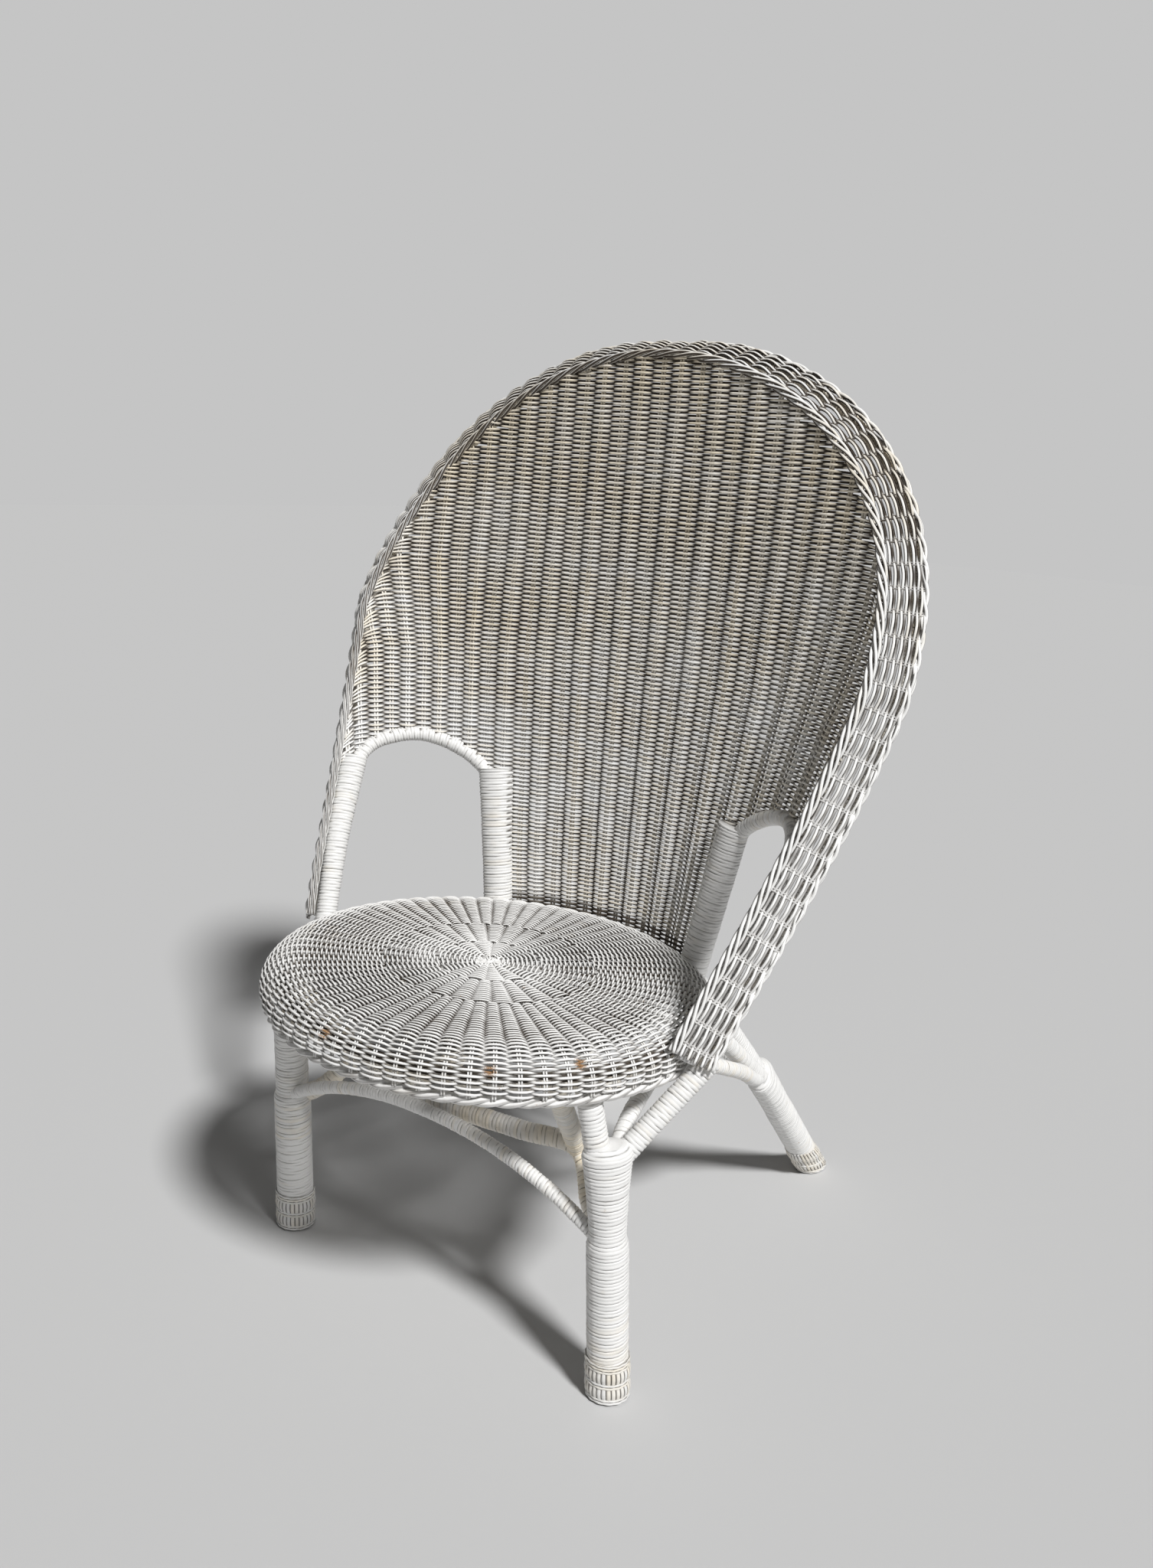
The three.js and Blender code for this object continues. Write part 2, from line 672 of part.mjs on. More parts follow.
// Everything under an arm arch, from the rear post forwards past the rim
function armOpening() {
  const outline = [
    [rearPostFoot.y, rearPostFoot.z - 40], [rearPostHead.y, rearPostHead.z - 40],
    ...[...armArchLine].reverse().slice(1, -1).map((p) => [p.y, p.z]),
    [frontPostLine[3].y, frontPostTopZ], [-SEAT_HALF_DEPTH * 2, frontPostTopZ],
    [-SEAT_HALF_DEPTH * 2, rearPostFoot.z - 40],
  ];
  const shape = new THREE.Shape(outline.map(([y, z]) => new THREE.Vector2(y, z)));
  const block = new THREE.ExtrudeGeometry(shape, { depth: BACK_HALF_WIDTH * 2, bevelEnabled: false });
  const turn = new THREE.Matrix4().makeBasis(point(0, 1, 0), point(0, 0, 1), point(1, 0, 0));
  block.applyMatrix4(turn).translate(rearPostFoot.x * 0.4, 0, 0);
  return closed(block);
}

const opening = armOpening();
const shellCutters = [opening, rearPostRoom, armArchBody(GAP), frontPostBody(GAP)];
const backWeave = trimmed(backShell(), [
  ...shellCutters, ...shellCutters.map(mirrored), edgingBody(GAP), bandBody(GAP), rimHoopBody(GAP), seatBody(GAP),
]);
add('back_weave', backWeave);

// Struts from the front legs

const frontStrut = trimmed(
  pole([frontCrotch.clone().add(point(-5, -5, -14)), hoopPoint(-27)], FRONT_STRUT_RADIUS, 1, 10),
  [frontLegRoom, armStrutBody(GAP), seatHoop(GAP), seatBorder(GAP), seatBody(GAP)],
);
bothSides('front_strut', frontStrut);

// Arched braces

const frontArchEnd = onAxis(frontFoot, frontCrotch, FRONT_ARCH_FOOT).add(point(0, -FRONT_LEG_RADIUS * 0.35, 0));
const archRise = FRONT_ARCH_CROWN - FRONT_ARCH_FOOT;
const frontArchY = frontArchEnd.y - 5;
const frontArchLine = [];
for (let i = -4; i <= 4; i += 1) {
  const share = i / 4;
  frontArchLine.push(point(
    frontArchEnd.x * share, frontArchY + (frontArchEnd.y - frontArchY) * share * share,
    FRONT_ARCH_FOOT + archRise * (1 - Math.abs(share) ** 2.2),
  ));
}
const legRooms = [frontLegRoom, mirrored(frontLegRoom)];
const frontArchBody = (grow) => pole(frontArchLine, FRONT_ARCH_RADIUS + grow, 20, 8);
add('front_arch', trimmed(frontArchBody(0), legRooms));

const innerY = frontArchY + FRONT_ARCH_RADIUS + INNER_ARCH_RADIUS + GAP * 4;
const innerEnd = onAxis(frontFoot, frontCrotch, FRONT_ARCH_FOOT - 8).add(point(0, FRONT_LEG_RADIUS * 0.4, 0));
const innerHalf = [
  innerEnd,
  point(innerEnd.x - 36, innerY + 12, FRONT_ARCH_FOOT + 16),
  point(innerEnd.x - 72, innerY + 34, FRONT_ARCH_CROWN - 4),
  point(innerEnd.x * 0.42, innerY + 12, FRONT_ARCH_CROWN + 4),
];
const innerArchLine = [
  ...innerHalf, point(0, innerY, FRONT_ARCH_CROWN + 4), ...[...innerHalf].reverse().map(mirrorPoint),
];
const innerArchBody = (grow) => pole(innerArchLine, INNER_ARCH_RADIUS + grow, 24, 8);
add('inner_arch', trimmed(innerArchBody(0), [...legRooms, frontArchBody(GAP)]), SHADED_PAINT);

const innerStrut = trimmed(
  pole([innerHalf[2], hoopPoint(-36)], INNER_STRUT_RADIUS, 1, 10),
  [innerArchBody(GAP), seatHoop(GAP), seatBorder(GAP), seatBody(GAP), frontLegRoom],
);
bothSides('inner_strut', innerStrut, SHADED_PAINT);

// Back legs: the main pole runs on up under the rear arm post, the fork strut to the seat hoop

const backPoleHead = rearPostFoot.clone().add(point(9, 9, 4));
const backPoleBody = (grow) => pole([backCrotch.clone().lerp(backFoot, 0.05), backPoleHead], BACK_POLE_RADIUS + grow, 1, 10);
const backPole = trimmed(backPoleBody(0), [backLegRoom, rearPostRoom, seatBorder(GAP), seatBody(GAP), backShell()]);
bothSides('back_pole', backPole);

const forkLine = [backCrotch.clone().add(point(5, -4, -2)), hoopPoint(34)];
const forkStrutBody = (grow) => pole(forkLine, FORK_STRUT_RADIUS + grow, 1, 10);
const forkStrut = trimmed(
  forkStrutBody(0),
  [backLegRoom, backPoleBody(GAP), seatHoop(GAP), seatBorder(GAP), seatBody(GAP)],
);
bothSides('back_fork_strut', forkStrut);

const sideFront = onAxis(frontFoot, frontCrotch, CROTCH_Z - 24);
const sideBack = onAxis(backFoot, backCrotch, BACK_CROTCH_Z - 6);
const sideArchZ = Math.max(CROTCH_Z, BACK_CROTCH_Z) + 28;
const sideArch = trimmed(
  pole([
    sideFront,
    point(sideFront.x - 20, sideFront.y + 70, sideArchZ - 14),
    point(sideFront.x - 34, sideFront.y + 160, sideArchZ),
    point(sideBack.x + 26, sideBack.y - 120, sideArchZ - 50),
    point(sideBack.x + 12, sideBack.y - 45, BACK_CROTCH_Z + 12),
    sideBack,
  ], SIDE_ARCH_RADIUS, 18, 8),
  [frontLegRoom, backLegRoom, armStrutBody(GAP), backPoleBody(GAP), forkStrutBody(GAP)],
);
bothSides('side_arch', sideArch);

const backArchEnd = onAxis(backFoot, backCrotch, BACK_CROTCH_Z - 16);
const backArchLine = [];
for (let i = -4; i <= 4; i += 1) {
  const share = i / 4;
  backArchLine.push(point(
    backArchEnd.x * share, backArchEnd.y - BACK_ARCH_BOW * (1 - share * share),
    backArchEnd.z + BACK_ARCH_RISE * (1 - Math.abs(share) ** 2.2),
  ));
}
const backArch = trimmed(
  pole(backArchLine, BACK_ARCH_RADIUS, 18, 8),
  [backLegRoom, mirrored(backLegRoom), backPoleBody(GAP), mirrored(backPoleBody(GAP))],
);
add('back_arch', backArch);

// Stand the chair on its origin

chair.updateMatrixWorld(true);
const box = new THREE.Box3().setFromObject(chair, true);
const middle = box.getCenter(new THREE.Vector3());
chair.position.set(-middle.x, -middle.y, -box.min.z);

const part = new THREE.Group();
part.add(chair);

export default part;
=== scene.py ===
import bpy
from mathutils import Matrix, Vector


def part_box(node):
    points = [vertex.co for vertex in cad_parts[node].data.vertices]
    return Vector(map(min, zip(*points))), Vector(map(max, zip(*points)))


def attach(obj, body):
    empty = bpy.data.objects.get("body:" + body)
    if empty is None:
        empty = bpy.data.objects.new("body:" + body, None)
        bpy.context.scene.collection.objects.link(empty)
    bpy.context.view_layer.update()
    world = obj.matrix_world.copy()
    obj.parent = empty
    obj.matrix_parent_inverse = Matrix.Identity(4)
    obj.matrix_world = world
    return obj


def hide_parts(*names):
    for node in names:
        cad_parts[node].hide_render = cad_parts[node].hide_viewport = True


bl_info = {
    "name": "Wicker Peacock Chair",
    "version": (1, 0, 0),
    "blender": (4, 5, 0),
    "location": "3D View > Sidebar > Wicker",
    "description": "Woven surfaces and paint for a balloon-back wicker chair",
    "category": "Add Mesh",
}

import bpy
import numpy as np
from mathutils import Matrix

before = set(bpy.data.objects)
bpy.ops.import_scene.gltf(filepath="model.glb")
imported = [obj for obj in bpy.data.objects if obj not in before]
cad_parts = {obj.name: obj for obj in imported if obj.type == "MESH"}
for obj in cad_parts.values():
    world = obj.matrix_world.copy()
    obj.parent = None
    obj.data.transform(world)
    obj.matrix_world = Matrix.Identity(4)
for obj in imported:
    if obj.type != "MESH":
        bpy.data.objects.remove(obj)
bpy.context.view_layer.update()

# Sizes of the chair in millimetres. The middle of the seat is at x = y = 0, and +Y is the back.
SEAT_HEIGHT = 392.0
SEAT_HALF_WIDTH = 256.0
SEAT_HALF_DEPTH = 234.0
SEAT_ROLL = 44.0
SEAT_ROLL_DROP = 30.0
SEAT_BOTTOM_Z = 350.0
SEAT_SQUASH = SEAT_HALF_DEPTH / SEAT_HALF_WIDTH
SEAT_HOOP_WIDTH = 232.8
SEAT_HOOP_Z = 359.0
TOP_Z = 1058.0
WIDEST_Z = 737.0
RIM_END_Z = 379.0
BACK_HALF_WIDTH = 346.6
RIM_END_HALF_WIDTH = 260.7
BAND_WIDTH = 43.0
BACK_LOW_DEPTH = 277
BACK_DEPTH_LOSS = 237
BACK_HOLLOW = 12
BACK_GAP = 6
BACK_LEAN = 19
REAR_POST_ANGLE = np.radians(34.4)
CROWN_Z = 583.0
FRONT_FOOT = np.array([237.0, -61.0, 0.0])
FRONT_CROTCH = np.array([229.0, -82.0, 282.0])
BACK_FOOT = np.array([174.0, 513.0, 0.0])
BACK_CROTCH = np.array([178.0, 322.0, 206.0])
FRONT_LEG_RADIUS = 22.0
BACK_LEG_RADIUS = 19.0
FOOT_CAP_HEIGHT = 46.0

# The part stands with the middle of its box at the origin, the seat's front edge is its lowest y
SEAT_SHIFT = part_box("seat_weave")[0].y * 1000 + SEAT_HALF_DEPTH

# Places on the front of the seat's edge where the paint is worn off, in metres
WORN_SPOTS = ((-0.015, -0.382, 0.3765), (0.155, -0.333, 0.3765), (0.212, -0.2685, 0.3805))

MIRROR = np.array([-1.0, 1.0, 1.0])
SIDES = (("right", np.ones(3)), ("left", MIRROR))

# Shares of the way from one stake to the next where a weaver has its corners, closest where it crosses over
CROSSING = np.array([0.0, 0.26, 0.42, 0.5, 0.58, 0.74])

# Corners on each span of a smooth line
CURVE_STEPS = 24

# A flat cane that is wound round a pole: its crown, the groove beside it, and a notch where weave is tied on
CANE_SHARES = np.array([0.0, 0.16, 0.5, 0.84])
CANE_CROWN = 0.35
CANE_GROOVE = 1.1
NOTCH_DEPTH = 2.6

# Where the rows of the back are split into pieces
ROW_GROUPS = (("back_rows_low", 0, 596), ("back_rows_middle", 596, 800), ("back_rows_high", 800, 2000))

# Pairs of stakes on either side of the middle of the back, and half the gap in a pair of stakes or spokes
STAKE_PAIRS = 20
STAKE_HALF_GAP = 1.8
SPOKE_HALF_GAP = 1.4

# Within RIM_REACH of the rim the rows draw together into bundles, and on the sides of the back they drop
RIM_REACH = 14.0
RIM_BUNDLE = 23
RIM_DROP = 13.0
RIM_DROP_FADE = 150

# Lengths along the seat's outline where its spokes double, where its rings are split and where its edge rolls
SEAT_DOUBLINGS = (62, 123)
SEAT_SPLIT = 185
SEAT_ROLL_START = 200

# The rim hoop behind the band, set off from the rim, and the radii of the arm posts and arches
HOOP_ACROSS = 37.0
HOOP_BEHIND = -12.8
REAR_POST_RADIUS = 16.4
FRONT_POST_RADIUS = 12.2
FRONT_POST_FLARE = 4.6
ARM_ARCH_RADIUS = 8.7

# Heights at which the arched braces leave the legs, and the place of the seat rails
FRONT_BRACE_Z = 182.0
INNER_BRACE_Z = 174.0
BACK_BRACE_Z = 190.0
RAIL_X = 90

# Heights of the rows wound round a foot
FOOT_ROWS = (3.6, 7.0, 21.8, 25.2, 40.8, 44.2, 47.4)

# Camera of the photograph: place in metres, turn, tilt and roll in degrees, focal length and height in pixels
CAMERA_PLACE = (0.90648, -1.25727, 0.95427)
CAMERA_ANGLES = (36.04, 13.92, 3.65)
CAMERA_FOCUS = 1799.08
CAMERA_HEIGHT = 2048
SENSOR = 36

# Directions toward the lights
KEY_TOWARD = (0.62, -0.255, 0.742)
REAR_TOWARD = (-0.5, 0.8, 0.45)

# For each paint: its slot, lightness (painted light and shade: lighter where the light falls full, darker on
# poles in shade), yellowing, crevice shade and grime, darkening toward the top, and chips
PAINTS = {
    "weave_paint": ("weave", 1.1, 0.32, 1.1, 0.2, 0.0),
    "seat_paint": ("weave", 1.09, -0.3, 1.3, 0.3, 0.0),
    "braid_paint": ("braid", 1.08, -0.2, 1.2, 1.6, 0.0),
    "pole_paint": ("wrapped_pole", 0.96, -0.1, 1.0, 0.3, 0.0),
    # The poles under the seat and the rim hoop: a darker copy of the paint as painted shade, with more
    # yellowing.
    "shaded_paint": ("shaded_pole", 0.9, 0.45, 1.0, 0.3, 0.0),
    "foot_paint": ("foot_weave", 0.93, 0.2, 1.2, 0.3, 0.02),
}
BARE_CANE = (0.36, 0.20, 0.09, 1.0)


# Plain array helpers


def unit(vectors):
    """Each vector divided by its own length."""
    length = np.linalg.norm(vectors, axis=-1, keepdims=True)
    return vectors / np.maximum(length, 1e-9)


def flat_wave(phase, sharpness=1.5):
    """A cosine of the phase in half turns, flattened at its crests: tanh(k cos) / tanh(k)."""
    return np.tanh(sharpness * np.cos(np.pi * phase)) / np.tanh(sharpness)


def drift(seed, where):
    """A smooth random value from -1 to 1 along a line: the mean of three sines with seeded phases."""
    phases = np.random.default_rng(seed).uniform(0, 2 * np.pi, 3)
    return (np.sin(where + phases[0]) + np.sin(2.3 * where + phases[1]) + np.sin(5.1 * where + phases[2])) / 3


class Skin:
    """The growing mesh of one piece: corners in millimetres, faces, and two values per corner.

    tone sets one strand apart from the next, deep is 1 in a crevice and 0 on a crest;
    the paint turns deep into painted shade and grime."""

    def __init__(self):
        self.corners = []
        self.faces = []
        self.tone = []
        self.deep = []
        self.count = 0

    def put(self, corners, faces, tone, deep):
        corners = corners.reshape(-1, 3)
        self.corners.append(corners)
        self.faces.extend(face + self.count for face in faces)
        self.tone.append(np.broadcast_to(tone, len(corners)))
        self.deep.append(np.broadcast_to(deep, len(corners)))
        self.count += len(corners)


def sweep(
    skin, centre, normal, width, height, sides=6, tone=0.5, deep=0.0, groove=0.55, loop=False,
    swing=None, hollow=(0.6, 0.85, 0.0), inside=0.0,
):
    """A rounded section carried along several paths at once, as tubes with closed ends.

    Corner = centre + side * width * cos(a) + normal * height * sin(a), where side is
    normal x tangent. centre and normal are (paths, steps, 3); the deep value, which the paint
    turns into painted shade and grime, grows by groove on the two flanks, where the next strand
    lies. A strand that swings from one side of a weave (swing 1) to the other (-1) is deep by
    h - k * (swing * sin(a) + f * |swing| * cos(a)^2), with hollow = (h, k, f): painted shade where
    it passes under and crosses, so only its crests stay light. inside is the deep value of the face
    turned against the normal, painted shade on that face."""
    centre = np.asarray(centre, float)
    paths, steps = centre.shape[:2]
    if loop:
        tangent = np.roll(centre, -1, 1) - np.roll(centre, 1, 1)
    else:
        tangent = np.gradient(centre, axis=1)
    tangent = unit(tangent)
    side = unit(np.cross(normal, tangent))
    normal = np.cross(tangent, side)
    angle = np.arange(sides) * 2 * np.pi / sides
    half_width = np.broadcast_to(width, (paths, steps))[..., None, None]
    half_height = np.broadcast_to(height, (paths, steps))[..., None, None]
    ring = centre[:, :, None] + side[:, :, None] * (half_width * np.cos(angle)[:, None])
    ring = ring + normal[:, :, None] * (half_height * np.sin(angle)[:, None])
    index = np.arange(paths * steps * sides).reshape(paths, steps, sides)
    here = index if loop else index[:, :-1]
    there = np.roll(index, -1, 1) if loop else index[:, 1:]
    quads = np.stack([here, np.roll(here, -1, 2), np.roll(there, -1, 2), there], -1)
    faces = [quads.reshape(-1, 4)]
    if not loop:
        faces += [index[:, 0, ::-1], index[:, -1]]
    flank = groove * np.abs(np.cos(angle)) ** 3
    depth = np.maximum(np.broadcast_to(deep, (paths, steps))[..., None], flank)
    depth = np.maximum(depth, np.broadcast_to(inside, (paths, steps))[..., None] * (np.sin(angle) < 0.1))
    if swing is not None:
        swing = np.asarray(swing)[..., None]
        facing = swing * np.sin(angle) + hollow[2] * np.abs(swing) * np.cos(angle) ** 2
        depth = np.maximum(depth, np.clip(hollow[0] - hollow[1] * facing, 0, 1))
    colour = np.broadcast_to(np.reshape(tone, (-1, 1, 1)), (paths, steps, sides))
    skin.put(ring, faces, colour.reshape(-1), depth.reshape(-1))


def smooth_line(points, spacing):
    """A Catmull-Rom curve through the points, cut into equal steps along its length."""
    points = np.asarray(points, float)
    if len(points) > 2:
        ends = np.concatenate([[2 * points[0] - points[1]], points, [2 * points[-1] - points[-2]]])
        t = np.linspace(0, 1, CURVE_STEPS, endpoint=False)[None, :, None]
        a, b, c, d = (ends[i:len(ends) - 3 + i][:, None] for i in range(4))
        square = 2 * a - 5 * b + 4 * c - d
        cube = 3 * b - a - 3 * c + d
        curve = 0.5 * (2 * b + (c - a) * t + square * t ** 2 + cube * t ** 3)
        points = np.concatenate([curve.reshape(-1, 3), points[-1:]])
    length = np.concatenate([[0], np.cumsum(np.linalg.norm(np.diff(points, axis=0), axis=1))])
    steps = max(2, int(np.ceil(length[-1] / spacing)) + 1)
    even = np.linspace(0, length[-1], steps)
    return np.stack([np.interp(even, length, points[:, i]) for i in range(3)], -1), length[-1]


def wrap_pole(skin, points, radius, pitch, seed, flat=None, steps=14, seam=None):
    """A pole wound with one flat cane: corner (i, j) lies at turn i / steps and at share v of the cane.

    Along the pole it is pitch * (turn + v), round it 2 pi turn, and its radius drops into a groove
    at v = 0, deep where the turns gape and shallow where they lie tight. The last share of one
    turn joins the first of the next, so the skin has no seam. radius is a number or a function of
    the share of the length; flat = (direction, factor function) widens the section along one
    direction. seam = (point, step) makes each step-th groove a notch on the side that looks
    away from the point, where the weave is tied to the pole."""
    line, total = smooth_line(points, 2.0)
    rise = np.array([-CANE_GROOVE, 0.0, CANE_CROWN, 0.0])
    count = int(np.ceil(total / pitch * steps)) + steps
    turn = np.arange(count) / steps
    shift = 0.10 * drift(seed, turn * 0.9) + 0.05 * drift(seed + 1, turn * 2.7)
    along = pitch * (turn[:, None] + CANE_SHARES + shift[:, None] - 1.0)
    along = np.clip(along, 0, total)
    position = np.linspace(0, total, len(line))
    centre = np.stack([np.interp(along, position, line[:, i]) for i in range(3)], -1)
    slope = unit(np.gradient(line, axis=0))
    tangent = unit(np.stack([np.interp(along, position, slope[:, i]) for i in range(3)], -1))
    spread = np.ptp(line, axis=0)
    axis = np.eye(3)[np.argmin(spread)] if flat is None else unit(np.asarray(flat[0], float))
    east = unit(axis - np.sum(axis * tangent, -1, keepdims=True) * tangent)
    north = np.cross(tangent, east)
    angle = 2 * np.pi * turn[:, None]
    gate = np.clip(0.5 + 1.5 * drift(seed + 5, turn * 4.3), 0.08, 1)[:, None]
    lift = rise * (1 + 0.5 * drift(seed + 2, turn * 1.7)[:, None]) * np.where(rise < 0, gate, 1)
    # Painted shade and grime in the groove between turns, more where the turns gape.
    deep = np.array([1.0, 0.15, 0.0, 0.15]) * gate
    if seam is not None:
        away = unit(centre - seam[0])
        out = east * np.cos(angle)[..., None] + north * np.sin(angle)[..., None]
        facing = np.clip((np.sum(out * away, -1).max(1) - 0.82) / 0.08, 0, 1)
        notch = (facing * (turn.astype(int) % seam[1] == 0))[:, None] * np.array([1.0, 1.0, 0.9, 0.3])
        lift = lift - NOTCH_DEPTH * notch
        # The notches where the weave is tied on are painted dark as painted shade.
        deep = np.maximum(deep, notch)
    reach = radius(along / total) if callable(radius) else radius
    reach = reach + lift + 0.25 * drift(seed + 3, turn * 0.37)[:, None]
    wide = reach if flat is None else reach * flat[1](along / total)
    corners = centre + east * (wide * np.cos(angle))[..., None] + north * (reach * np.sin(angle))[..., None]
    index = np.arange(count * 4).reshape(count, 4)
    across = np.stack([index[:-1, :-1], index[1:, :-1], index[1:, 1:], index[:-1, 1:]], -1)
    last = count - steps - 1
    before = np.stack([index[:last, 3], index[1:last + 1, 3]], -1)
    after = np.stack([index[steps + 1:count, 0], index[steps:count - 1, 0]], -1)
    joint = np.concatenate([before, after], -1)
    start = np.concatenate([index[0, 1:], index[steps::-1, 0]])
    finish = np.concatenate([index[count - steps - 1:, 3], index[-1, 2::-1]])
    tone = np.random.default_rng(seed + 4).uniform(0, 1, int(turn[-1]) + 2)[turn.astype(int)]
    faces = [across.reshape(-1, 4), joint, start[None], finish[None]]
    skin.put(corners, faces, np.repeat(tone, 4), deep.reshape(-1))


def add_piece(name, skin, paint, nodes):
    """Puts a skin into a mesh object in metres, riding on the body and standing for its CAD nodes."""
    corners = (np.concatenate(skin.corners) + [0, SEAT_SHIFT, 0]) * 0.001
    sizes = np.concatenate([np.full(len(face), face.shape[1]) for face in skin.faces])
    loops = np.concatenate([face.reshape(-1) for face in skin.faces]).astype(np.int32)
    mesh = bpy.data.meshes.new(name)
    mesh.vertices.add(len(corners))
    mesh.vertices.foreach_set("co", corners.astype(np.float32).reshape(-1))
    mesh.loops.add(len(loops))
    mesh.loops.foreach_set("vertex_index", loops)
    mesh.polygons.add(len(sizes))
    mesh.polygons.foreach_set("loop_start", np.concatenate([[0], np.cumsum(sizes)[:-1]]).astype(np.int32))
    mesh.update(calc_edges=True)
    mesh.shade_smooth()
    for label, values in (("tone", skin.tone), ("deep", skin.deep)):
        layer = mesh.attributes.new(label, "FLOAT", "POINT")
        layer.data.foreach_set("value", np.concatenate(values).astype(np.float32))
    mesh.materials.append(finish(paint))
    piece = bpy.data.objects.new(name, mesh)
    bpy.context.scene.collection.objects.link(piece)
    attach(piece, "root")
    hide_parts(*nodes)


def wind(name, nodes, paint, *pole, **more):
    """A piece that is one pole wound with cane."""
    skin = Skin()
    wrap_pole(skin, *pole, **more)
    add_piece(name, skin, paint, nodes)


# Shape of the back: at each height an ellipse about the sitter, cut off at the rim


def rim_half_width(z):
    """Half the width at the rim: a quarter ellipse over the widest place, and a slow taper under it."""
    above = BACK_HALF_WIDTH * np.sqrt(np.clip(1 - ((z - WIDEST_Z) / (TOP_Z - WIDEST_Z)) ** 2, 0, 1))
    share = np.clip((WIDEST_Z - z) / (WIDEST_Z - RIM_END_Z), 0, None)
    below = BACK_HALF_WIDTH - (BACK_HALF_WIDTH - RIM_END_HALF_WIDTH) * share ** 1.2
    return np.where(z > WIDEST_Z, above, below)


def side_axis(z):
    """Half axis a of the ellipse to the side: a little more than the half width at the rim."""
    high = BACK_HALF_WIDTH * 1.021 + 12 * (z - WIDEST_Z) / (TOP_Z - WIDEST_Z)
    share = np.clip((z - RIM_END_Z) / (WIDEST_Z - RIM_END_Z), 0, None)
    return np.where(z > WIDEST_Z, high, rim_half_width(z) * (1.001 + 0.02 * share ** 2))


def depth_axis(z):
    """Half axis b of the ellipse to the front: long at the seat, short at the top, and hollow between."""
    share = (z - RIM_END_Z) / (TOP_Z - RIM_END_Z)
    return BACK_LOW_DEPTH - BACK_DEPTH_LOSS * share - BACK_HOLLOW * np.sin(np.pi * share)


def back_normal(angle, z):
    """Level direction out of the back: (b sin, a cos, 0), made one long."""
    flat = np.stack([depth_axis(z) * np.sin(angle), side_axis(z) * np.cos(angle), 0 * (angle + z)], -1)
    return unit(flat)


def on_back(angle, z, offset=0.0):
    """Point of the back: (a sin, y - b (1 - cos), z), moved out along the level normal."""
    angle, z, offset = np.broadcast_arrays(np.asarray(angle, float), np.asarray(z, float), offset)
    middle = SEAT_HALF_DEPTH + BACK_GAP + BACK_LEAN * (z - SEAT_HEIGHT) / (TOP_Z - SEAT_HEIGHT)
    y = middle - depth_axis(z) * (1 - np.cos(angle))
    place = np.stack([side_axis(z) * np.sin(angle), y, z], -1)
    return place + back_normal(angle, z) * offset[..., None]


def rim_angle(z):
    """Angle of the ellipse at which the back ends: arcsin(half width / a)."""
    return np.arcsin(np.clip(rim_half_width(z) / side_axis(z), 0, 1))


def front_post_angle(z):
    """Angle of a front arm post, which stands 23 mm inside the rim."""
    return rim_angle(z) - 23 / depth_axis(z)


# An arm arch from its front end to its rear end: shares of the way to the front, and drops below its crown
ARCH_FRONT_ANGLE = front_post_angle(np.array(542.0))
ARCH_SHARES = np.array([1, 0.93, 0.8, 0.55, 0.35, 0.17, 0.05, 0])
ARCH_DROPS = np.array([45.0, 25, 9, 0, 5, 21, 43, 62])


def arch_angle(share):
    """Angle at a share of the way from the rear arm post to the front one."""
    return REAR_POST_ANGLE + (ARCH_FRONT_ANGLE - REAR_POST_ANGLE) * share


def arc_table(z):
    """Angles from the middle to the rim at one height, and the arc length out to each."""
    angle = np.linspace(0, rim_angle(z), 160)
    speed = np.hypot(side_axis(z) * np.cos(angle), depth_axis(z) * np.sin(angle))
    steps = 0.5 * (speed[1:] + speed[:-1]) * np.diff(angle)
    return angle, np.concatenate([[0], np.cumsum(steps)])


def arm_opening(z, table):
    """Arc lengths from the middle to the rear side and to the front side of the arm opening at one height."""
    rear = arch_angle(np.interp(z, CROWN_Z - ARCH_DROPS[:2:-1], ARCH_SHARES[:2:-1]))
    front = arch_angle(np.interp(z, CROWN_Z - ARCH_DROPS[:4], ARCH_SHARES[:4]))
    return np.interp(rear, *table), np.interp(front, *table)


def woven_spans(z, table):
    """Arc spans that are woven at one height: between the rear posts, in front of the arches, or all."""
    edge = table[1][-1] - 1.5
    if z > CROWN_Z + 3:
        return [(-edge, edge)]
    rear, front = arm_opening(z, table)
    rear = rear - (7 if z < 545 else 2)
    spans = [(-rear, rear)]
    if z > 556:
        spans += [(front + 2, edge), (-edge, -front - 2)]
    return spans


def in_weave(arc, spans):
    """Whether an arc lies in one of the woven spans, or within 2 mm of it."""
    return any(low - 2 <= arc <= high + 2 for low, high in spans)


# Rim of the back, from the right end over the top to the left end


def rim_frame(spacing):
    """Points along the rim at equal steps, with the directions across the band and out of its face."""
    low = np.linspace(RIM_END_Z, WIDEST_Z, 120, endpoint=False)
    turn = np.linspace(0, np.pi / 2, 160)
    z = np.concatenate([low, WIDEST_Z + (TOP_Z - WIDEST_Z) * np.sin(turn)])
    x = np.concatenate([rim_half_width(low), BACK_HALF_WIDTH * np.cos(turn)])
    half = on_back(np.arcsin(np.clip(x / side_axis(z), 0, 1)), z)
    line = np.concatenate([half, half[-2::-1] * MIRROR])
    line, total = smooth_line(line[::4], spacing)
    along = unit(np.gradient(line, axis=0))
    share = np.where(line[:, 2] > WIDEST_Z, np.abs(line[:, 0]) / BACK_HALF_WIDTH, 1)
    tilt = np.radians(17 + 38 * share)[:, None]
    outward = unit(np.stack([along[:, 2], 0 * share, -along[:, 0]], -1))
    face = outward * np.cos(tilt) + np.array([0, -1, 0]) * np.sin(tilt)
    face = unit(face - np.sum(face * along, -1, keepdims=True) * along)
    across = unit(np.cross(along, face))
    return line, across, face, np.linspace(0, total, len(line))


def beside(rim, across, face):
    """Points set off from the rim, across the band and out of its face."""
    across, face = np.broadcast_arrays(across, face)
    return rim[0] + rim[1] * across[..., None] + rim[2] * face[..., None]


# Paint


